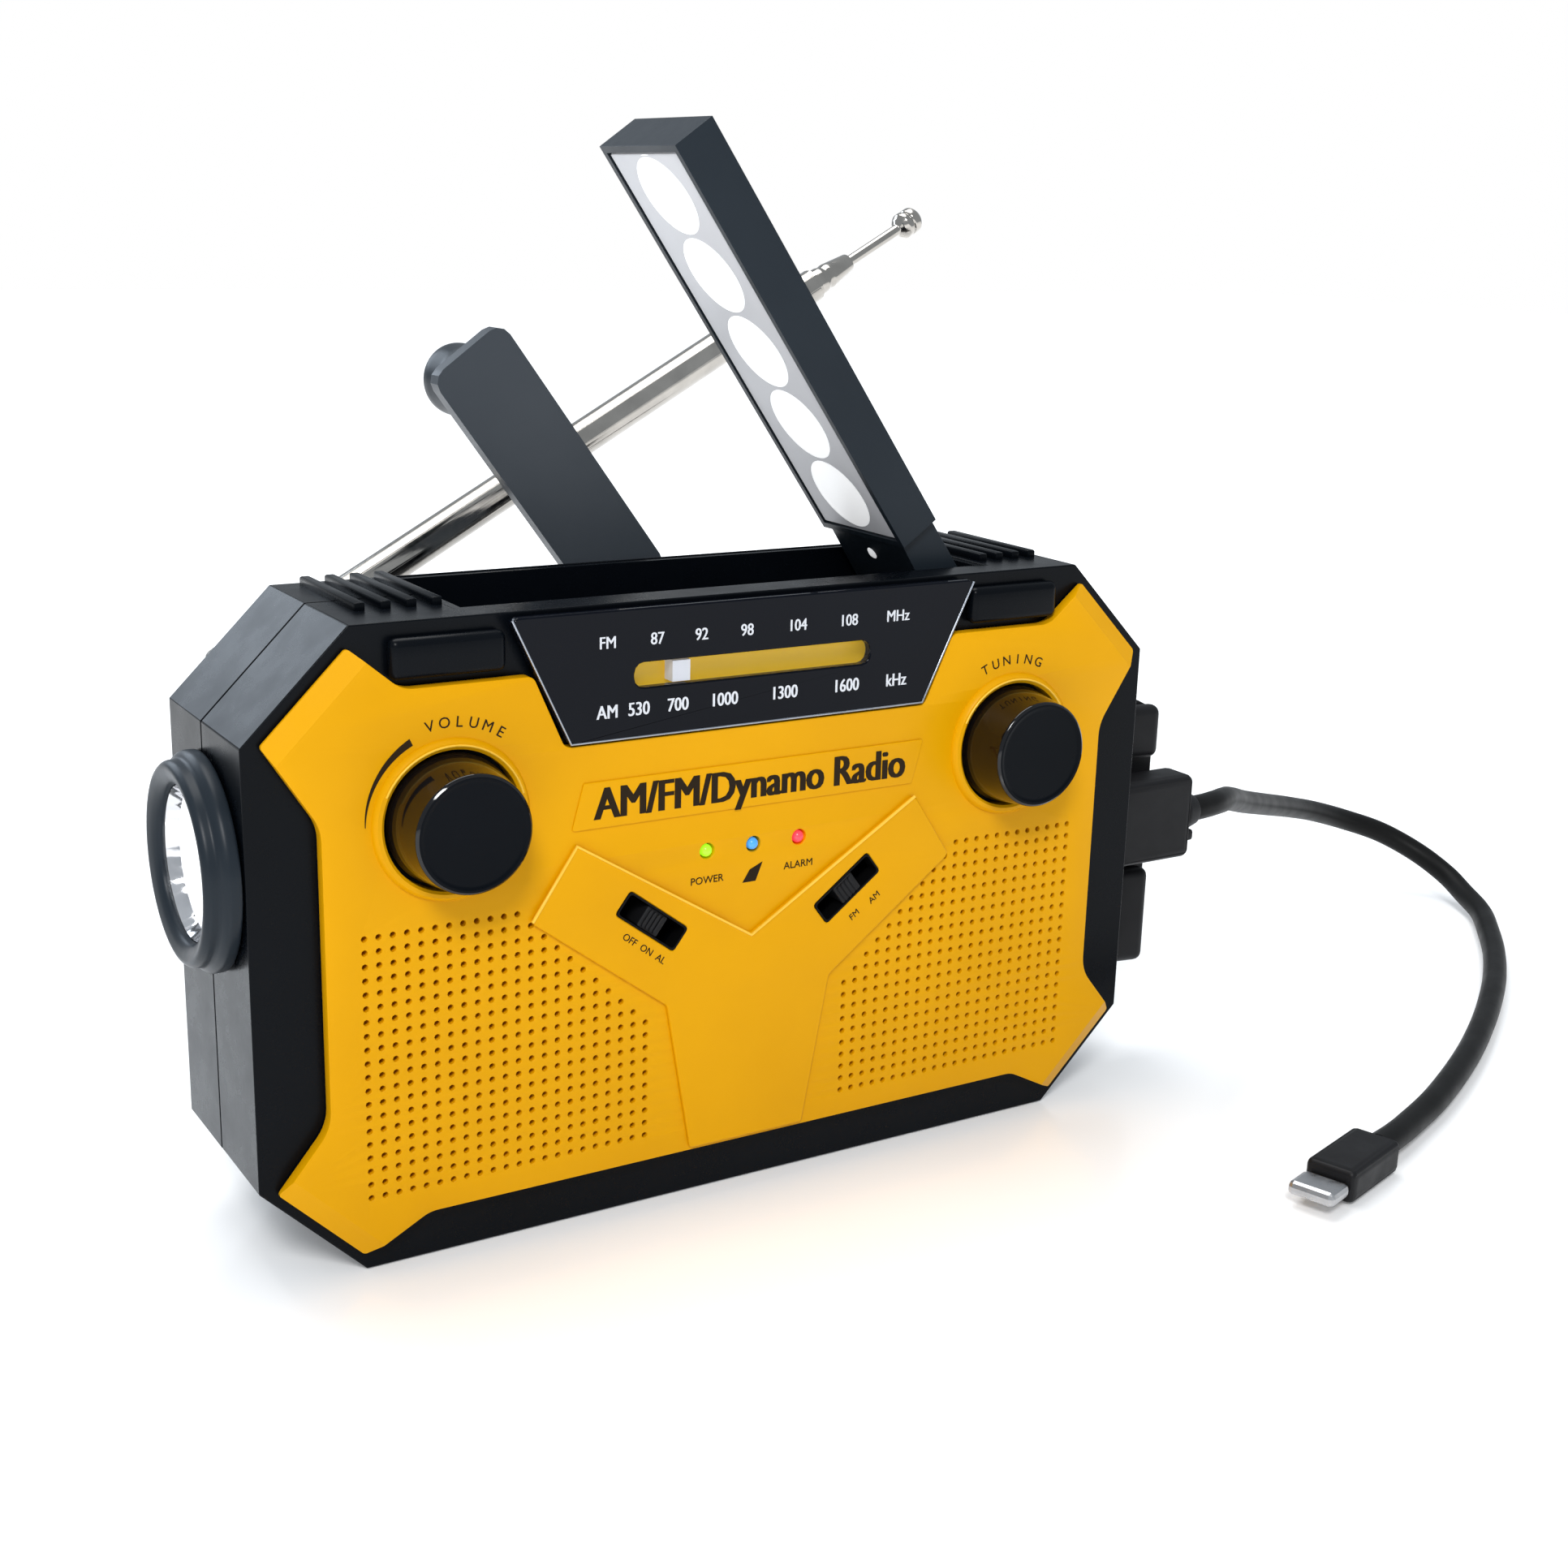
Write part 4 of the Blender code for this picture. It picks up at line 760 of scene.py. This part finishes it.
def make_shells():
    for node in ("front_shell", "rear_shell"):
        softened(node, 0.7, "shell", "case", chosen=outer_edge)
    rib_xs = {"left": (-58.6, -54.7, -50.8, -46.9), "right": (51.2, 54.6, 58.0, 61.4)}
    for label, xs in rib_xs.items():
        ribs = [block_mesh("rib", x - 0.85, x + 0.85, 11.5, 35.0, 97.2, 98.9, 0.35) for x in xs]
        link(f"{label}_ribs", merged(f"{label}_ribs", ribs), "shell", "case")
    # Thin silver lines along the case's front edges on each side: painted highlight
    for name, side in (("left_front_edge_highlight", -1), ("right_front_edge_highlight", 1)):
        corners = ((79.2, 15.9), (79.2, 81.8), (63.6, 97.4), (38.5, 97.4))
        line = tube_mesh(name, [(side * x, 2.75, z) for x, z in corners], 0.22)
        link(name, line, "edge", "case")
    for label, side in SIDES:
        low, high = sorted((side * 41.0, side * 58.5))
        name = f"{label}_top_ledge"
        ledge = block_mesh(name, low, high, 0.1, 2.6, 89.6, 95.6, 1.2, 4)
        link(name, ledge, "shell", "case")


def make_battery_door():
    softened("battery_door", 0.4, "shell", "battery_hatch")
    ridges = [block_mesh("ridge", x - 0.6, x + 0.6, 41.7, 42.5, 11.0, 24.0, 0.3)
              for x in (-6.0 + 2.4 * i for i in range(6))]
    link("door_ridges", merged("door_ridges", ridges), "shell", "battery_hatch")


# ---------------------------------------------------------------- dial

# Each row of the scale: height, letter size, weight and squeeze, then its words and their places
DIAL_ROWS = (
    (92.4, 2.6, 0.04, 0.88, (("FM", -25.4), ("87", -17.2), ("92", -9.7), ("98", -1.8),
                             ("104", 7.2), ("108", 16.6), ("MHz", 25.9))),
    (82.0, 2.9, 0.06, 0.84, (("AM", -25.4), ("530", -20.2), ("700", -13.6), ("1000", -5.6),
                             ("1300", 5.1), ("1600", 16.5), ("kHz", 26.0))),
)


def make_dial():
    line = [(-40.5, -0.32, 96.9), (-31.3, -0.32, 77.8), (31.3, -0.32, 77.8), (40.5, -0.32, 96.9)]
    softened("dial_window", 0.25, "gloss", "case", segments=2)
    link("dial_edge", tube_mesh("dial_edge", line, 0.2), "edge", "case")
    opening = rounded([(-20.9, 85.2), (20.9, 85.2), (20.9, 89.0), (-20.9, 89.0)], 1.6)
    glass = sheet_mesh("dial_cover", [opening], -0.2, 0.05)
    link("dial_cover", glass, "clear", "case")
    words = []
    for z, size, weight, squeeze, labels in DIAL_ROWS:
        for label, x in labels:
            words += bold_text(label, size, x, z, -0.34, weight, squeeze=squeeze)
    # The dial's print glows a little: painted light
    link("dial_print", merged("dial_print", words), "print", "case")


def arc_words(letters, side, middle):
    """Letters round the top of a knob, centred at middle degrees."""
    meshes = []
    start = middle + LETTER_TURN * (len(letters) - 1) / 2
    for i, letter in enumerate(letters):
        angle = radians(start - LETTER_TURN * i)
        x = side * KNOB_X + LABEL_RADIUS * cos(angle)
        z = KNOB_Z + LABEL_RADIUS * sin(angle)
        meshes.append(text_mesh(letter, 2.3, x, z, -0.03, angle - pi / 2))
    return meshes


def make_print():
    """Generic control labels only."""
    slope = radians(SLOT_SLOPE)
    words = bold_text("AM/FM/Dynamo Radio", 7.0, 0.6, 67.9, -0.3, 0.26, squeeze=0.86)
    words += arc_words("VOLUME", -1, 80.0)
    words += arc_words("TUNING", 1, 92.0)
    words += [text_mesh("POWER", 1.7, -7.9, 53.4, -0.03),
              text_mesh("ALARM", 1.7, 8.8, 53.6, -0.03),
              text_mesh("OFF  ON  AL", 1.6, -19.2, 44.2, -0.78, -slope),
              text_mesh("AM", 1.6, 23.2, 46.0, -0.78, slope),
              text_mesh("FM", 1.6, 19.4, 43.6, -0.78, slope)]
    link("panel_print", merged("panel_print", words), "ink", "case")


def make_marks():
    """The wedge that grows round the volume knob, and the mark under the middle LED."""
    steps, start, sweep = 24, 178.0, 62.0
    inner, thin, growth = 12.9, 13.0, 1.0
    swell = [(radians(start - sweep * i / steps), thin + growth * i / steps)
             for i in range(steps + 1)]
    outline = [(-KNOB_X + r * cos(a), KNOB_Z + r * sin(a)) for a, r in swell]
    outline += [(-KNOB_X + inner * cos(a), KNOB_Z + inner * sin(a)) for a, r in reversed(swell)]
    wedge = sheet_mesh("volume_wedge", [outline], -0.06, 0.05)
    link("volume_wedge", wedge, "ink", "case")
    bolt = [(-1.5, 52.0), (0.9, 52.0), (2.1, 55.0), (-0.2, 54.0)]
    mark = sheet_mesh("charge_mark", [bolt], -0.05, 0.05)
    link("charge_mark", mark, "ink", "case")


# ---------------------------------------------------------------- controls

def make_knobs():
    skirt = fillet([(8.4, 8.6), (8.8, 8.3), (8.85, 7.9), (9.0, 6.6), (9.9, 0.4), (9.9, -1.8),
                    (3.2, -1.8)], 0.35)
    cap = fillet([(0.0, 8.35), (7.6, 8.4), (8.1, 8.6), (8.45, 8.55)], 0.3)
    for name, side in (("volume", -1), ("tuning", 1)):
        base, body = (side * KNOB_X, 0, KNOB_Z), f"{name}_control"
        mesh = lathe_mesh(f"{name}_skirt", skirt, base, FRONTWARDS, 120)
        obj = link(f"{name}_skirt", mesh, "knob", body)
        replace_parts(obj, f"{name}_knob")
        mesh = lathe_mesh(f"{name}_cap", cap, base, FRONTWARDS, 96)
        link(f"{name}_cap", mesh, "knob_cap", body)


def make_sliders():
    for label, side in SIDES:
        body = f"{label}_switch"
        softened(f"{label}_slider", 0.25, "rubber", body, segments=2)
        ridges = [sheet_mesh("ridge", [slot_outline(side, 0.35, 3.2, shift)], -1.0, -0.7, 0.1)
                  for shift in (-1.2, -0.4, 0.4, 1.2)]
        name = f"{label}_slider_ridges"
        link(name, merged(name, ridges), "rubber", body)


def make_leds():
    radius, raised = 0.98, 0.02
    crown = [(radius * sin(a), raised + radius * cos(a)) for a in (0.3, 0.6, 0.9, 1.2, 1.5)]
    dome = [(0.0, raised + radius), *crown, (radius, -2.0), (0.0, -2.2)]
    for node, (x, look) in LEDS.items():
        name = f"{node}_dome"
        mesh = lathe_mesh(name, dome, (x, 0.6, LED_Z), FRONTWARDS, 32)
        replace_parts(link(name, mesh, look, "case"), node)


# ---------------------------------------------------------------- lamp

def swing(mesh):
    """Turn a mesh drawn with the lamp closed to the lamp's open rest position."""
    centre = world(LAMP_PIN[0], 0, LAMP_PIN[1])
    turn = Matrix.Rotation(radians(LAMP_OPEN), 4, "Y")
    mesh.transform(Matrix.Translation(centre) @ turn @ Matrix.Translation(-centre))
    return mesh


def lamp_disc(along, y, above, radius, rise, sides=40):
    """A shallow dome on the lamp's inner face."""
    profile = [(0.0, rise), (radius * 0.5, rise * 0.85), (radius * 0.85, rise * 0.4),
               (radius, 0.0), (radius, -0.2)]
    base = (LAMP_PIN[0] - along, y, LAMP_PIN[1] + above)
    return lathe_mesh("disc", profile, base, (0, 0, -1), sides)


def make_lamp():
    pin_x, pin_z = LAMP_PIN
    softened("lamp_housing", 0.55, "slate", "lamp")
    face = block_mesh("lamp_face", pin_x - LAMP_FACE[1], pin_x - LAMP_FACE[0], 11.1, 32.4,
                      pin_z - 3.6, pin_z - 2.0, 0.35)
    obj = link("lamp_face", swing(face), "diffuser", "lamp")
    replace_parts(obj, "lamp_diffuser")
    discs = [lamp_disc(21.2 + LAMP_SPOT_PITCH * i, 21.2, -3.55, LAMP_SPOT_RADIUS, 0.35)
             for i in range(LAMP_SPOTS)]
    link("lamp_spots", swing(merged("lamp_spots", discs)), "lamp_spot", "lamp")
    # The screw on the lamp's foot glows white: a painted highlight
    screw = lamp_disc(8.0, 22.7, -3.15, 1.3, 0.5, 24)
    link("lamp_screw", swing(screw), "lamp_spot", "lamp")
    bars = [block_mesh("bar", pin_x - along - 0.4, pin_x - along + 0.4, 12.1, 31.4,
                       pin_z + 3.7, pin_z + 3.76, 0.02) for along in (27.5, 46.0, 64.5)]
    link("solar_bars", swing(merged("solar_bars", bars)), "steel", "lamp")


# ---------------------------------------------------------------- crank

def make_crank():
    softened("crank_arm", 0.45, "arm", "crank_handle")
    softened("crank_hub", 0.3, "arm", "crank_drive", segments=2)
    angle = radians(CRANK_ANGLE)
    base = (HUB[0] + CRANK_RADIUS * cos(angle), GRIP_Y, HUB[1] + CRANK_RADIUS * sin(angle))
    grip = [(0.0, 11.9), (5.0, 11.9), (5.9, 11.2), (6.0, 9.6), (5.6, 6.0), (6.0, 1.3),
            (5.6, 0.1), (1.8, 0.1)]
    mesh = lathe_mesh("crank_grip_shown", fillet(grip, 0.8, 4), base, (0, 1, 0), 72)
    obj = link("crank_grip_shown", mesh, "slate", "crank_grip")
    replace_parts(obj, "crank_knob")


# ---------------------------------------------------------------- antenna

def make_antenna():
    rise, lean = radians(ANTENNA_RISE), radians(ANTENNA_LEAN)
    direction = (cos(rise) * cos(lean), sin(lean), sin(rise) * cos(lean))
    outside = fillet([(0.0, 4.4), (2.9, 4.4), (2.9, 5.0), (3.2, 6.2), (3.2, TUBE_END - 0.6),
                      (2.9, TUBE_END), (2.7, TUBE_END), (2.7, 60.0)], 0.2)
    ferrule = fillet([(1.4, 40.5), (2.3, 40.5), (2.3, TUBE_END + 0.2), (2.62, TUBE_END + 0.3),
                      (2.62, TUBE_END + 2.2), (2.35, TUBE_END + 3.0), (2.5, TUBE_END + 4.2),
                      (1.75, FERRULE_END), (1.35, FERRULE_END)], 0.25)
    tip = fillet([(1.05, 60.5), (1.05, ROD_END), (1.9, ROD_END + 0.6), (2.6, ROD_END + 1.5),
                  (2.6, ROD_END + 2.6), (2.25, ROD_END + 2.9), (2.6, ROD_END + 3.2),
                  (2.6, TIP_END - 0.8), (1.9, TIP_END), (0.0, TIP_END)], 0.2)
    for name, profile, sides, body, node in (
            ("antenna_tube_barrel", outside, 48, "antenna_outer", None),
            ("antenna_middle_shown", ferrule, 40, "antenna_middle", "antenna_section"),
            ("antenna_inner_shown", tip, 40, "antenna_inner", "antenna_rod")):
        mesh = lathe_mesh(name, profile, ANTENNA, direction, sides)
        obj = link(name, mesh, "chrome", body)
        if node:
            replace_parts(obj, node)


# ---------------------------------------------------------------- torch

def make_torch():
    bezel = fillet([(11.5, 3.4), (11.7, 4.3), (12.6, 4.9), (14.2, 5.4), (15.0, 4.6), (15.1, 3.2),
                    (15.8, 2.7), (16.2, 2.0), (16.2, 0.3), (12.6, 0.3), (12.5, -6.0)], 0.5, 4)
    lens = fillet([(0.0, 5.45), (4.0, 5.3), (8.0, 4.8), (10.6, 4.2), (11.5, 3.6)], 1.0)
    cup = fillet([(11.4, 3.3), (10.6, 0.9), (9.3, -2.4), (7.2, -6.0), (4.4, -9.0),
                  (1.9, -10.0)], 1.2, 4)
    emitter = [(0.0, -7.0), (2.0, -7.3), (2.8, -8.4), (2.8, -9.6)]
    glow = [(0.0, 2.6), (4.0, 2.5), (8.0, 2.1), (10.1, 1.6), (10.3, 1.3)]
    # name, profile, sides and grooves, material, slot, the node that it stands for
    for name, profile, turned, look, slot, node in (
            ("torch_bezel_shown", bezel, (120,), "slate", "black_plastic", "torch_bezel"),
            ("torch_lens_shown", lens, (72,), "clear", "clear_plastic", "torch_lens"),
            ("torch_cup", cup, (72, 24, 0.3, (-8.0, 3.0)), "bright", "chrome",
             "torch_reflector"),
            ("torch_emitter", emitter, (32,), "beam", "white_plastic", None),
            ("torch_glow", glow, (72, 18, 0.2, (1.0, 2.1)), "beam", "white_plastic", None)):
        obj = link(name, lathe_mesh(name, profile, TORCH, (-1, 0, 0), *turned), look, "case")
        if node:
            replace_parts(obj, node)


# ---------------------------------------------------------------- sockets, flap and plugs

def make_flap():
    """Rubber socket cover with the pads that press on the sockets, swung open past them."""
    pin_x, pin_y = FLAP_PIN
    near, far, (low, high) = pin_x + 0.5, pin_x + FLAP_LONG, FLAP_Z
    outline = rounded([(near, low), (far, low), (far, high), (near, high)], [0.8, 5, 5, 0.8])
    sheet = sheet_mesh("flap_sheet", [outline], pin_y - 1.0, pin_y + 0.8, 0.4)
    hinge = tube_mesh("flap_hinge_bead", [(*FLAP_PIN, 17.5), (*FLAP_PIN, 66.5)], 0.8)
    pads = [block_mesh("flap_pad", far - 14.5, far - 0.4, pin_y - 4.2, pin_y - 0.5,
                       bottom, top, 1.7, 5) for bottom, top in ((17.0, 35.6), (57.2, 67.2))]
    cover = merged("port_cover_shown", [sheet, hinge, *pads])
    centre = world(*FLAP_PIN, 0.0)
    cover.transform(Matrix.Translation(centre) @ Matrix.Rotation(radians(-FLAP_OPEN), 4, "Z")
                    @ Matrix.Translation(-centre))
    obj = link("port_cover_shown", cover, "rubber", "flap")
    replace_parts(obj, "port_cover")


def make_plugs():
    """The pieces on the lead: its plug, strain relief and tab, and the far connector."""
    plug = softened("usb_plug", 1.0, "rubber", "case", angle=20)
    taper = fillet([(0.0, 0.0), (3.7, 0.0), (3.7, 0.6), (2.9, 3.4), (2.6, 3.6), (2.45, 3.6)], 0.4)
    base = (PLUG_BACK_X, *LEAD_EXIT[1:])
    mesh = lathe_mesh("lead_relief", taper, base, (1, 0, 0), 40)
    relief = link("lead_relief", mesh, "rubber", "case")
    block = block_mesh("plug_tab", PLUG_BACK_X - 0.2, 103.4, 10.6, 14.4, 41.4, 43.6, 0.6)
    tab = link("plug_tab", block, "rubber", "case")
    end = softened("phone_plug", 0.4, "rubber", "case", angle=20)
    return [plug, relief, tab, end]


# ---------------------------------------------------------------- stage

FLOOR_HALF, FLOOR_DROP = 3.0, 0.0002
ROOM_COLOUR, ROOM_STRENGTH = (0.86, 0.93, 1.0, 1.0), 0.52
WHITE = (1.0, 1.0, 1.0, 1.0)


def make_floor():
    """A pale floor, which glows more with distance so that it meets the backdrop."""
    bm = bmesh.new()
    bmesh.ops.create_grid(bm, x_segments=1, y_segments=1, size=FLOOR_HALF)
    mesh = bpy.data.meshes.new("floor")
    bm.to_mesh(mesh)
    bm.free()
    floor = bpy.data.objects.new("floor", mesh)
    scene.collection.objects.link(floor)
    material, tree, shader = shader_parts("floor", (0.95, 0.95, 0.95), 0.16)
    tree.links.new(ramp(tree, noise(tree, 3.0), 0.14, 0.2), shader.inputs["Roughness"])
    shader.inputs["Specular IOR Level"].default_value = 0.6
    shader.inputs["Emission Color"].default_value = WHITE
    place = tree.nodes.new("ShaderNodeTexCoord")
    reach = tree.nodes.new("ShaderNodeVectorMath")
    reach.operation = "LENGTH"
    tree.links.new(place.outputs["Object"], reach.inputs[0])
    tree.links.new(ramp(tree, reach.outputs["Value"], 0.12, 0.75, 0.12, 0.6),
                   shader.inputs["Emission Strength"])
    mesh.materials.append(material)
    floor.location = (0.0, 0.0, -FLOOR_DROP)


def make_room():
    """A pale blue room as the pieces see it, and a white backdrop as the camera sees it."""
    room = bpy.data.worlds.new("pale")
    room.use_nodes = True
    tree = room.node_tree
    around = tree.nodes["Background"]
    around.inputs["Color"].default_value = ROOM_COLOUR
    around.inputs["Strength"].default_value = ROOM_STRENGTH
    backdrop = tree.nodes.new("ShaderNodeBackground")
    backdrop.inputs["Color"].default_value = WHITE
    either = tree.nodes.new("ShaderNodeMixShader")
    seen = tree.nodes.new("ShaderNodeLightPath")
    tree.links.new(seen.outputs["Is Camera Ray"], either.inputs["Fac"])
    tree.links.new(around.outputs["Background"], either.inputs[1])
    tree.links.new(backdrop.outputs["Background"], either.inputs[2])
    tree.links.new(either.outputs["Shader"], tree.nodes["World Output"].inputs["Surface"])
    scene.world = room


def area_light(name, place, target, size, power, colour=(1, 1, 1)):
    """A square light that points at a target; places and sizes in metres."""
    data = bpy.data.lights.new(name, "AREA")
    data.shape = "SQUARE"
    data.size = size
    data.energy = power
    data.color = colour
    light = bpy.data.objects.new(name, data)
    scene.collection.objects.link(light)
    start, end = Vector(place), Vector(target)
    turn = (end - start).to_track_quat("-Z", "Y").to_matrix().to_4x4()
    light.matrix_world = Matrix.Translation(start) @ turn


def make_lights():
    area_light("key", (-0.45, -0.7, 0.8), (0.0, 0.0, 0.06), 0.28, 7.6)
    area_light("top", (0.0, 0.25, 0.9), (0.0, 0.0, 0.08), 0.6, 5.0)
    area_light("back", (-0.3, 0.85, 0.5), (-0.07, 0.0, 0.08), 0.45, 2.6, (0.78, 0.88, 1.0))


make_camera()
lead, lead_exit, lead_length = make_cable()
dress_nodes()
make_panel()
make_raised_y()
for knob_label, knob_side in SIDES:
    make_knob_surround(knob_label, knob_side)
make_openings()
make_shells()
make_battery_door()
make_dial()
make_print()
make_marks()
make_knobs()
make_sliders()
make_leds()
make_lamp()
make_crank()
make_antenna()
make_torch()
make_flap()
on_lead = make_plugs()
on_lead += [frame["nodes"]["usb_plug_shell"], frame["nodes"]["phone_plug_tip"]]
make_floor()
make_room()
make_lights()
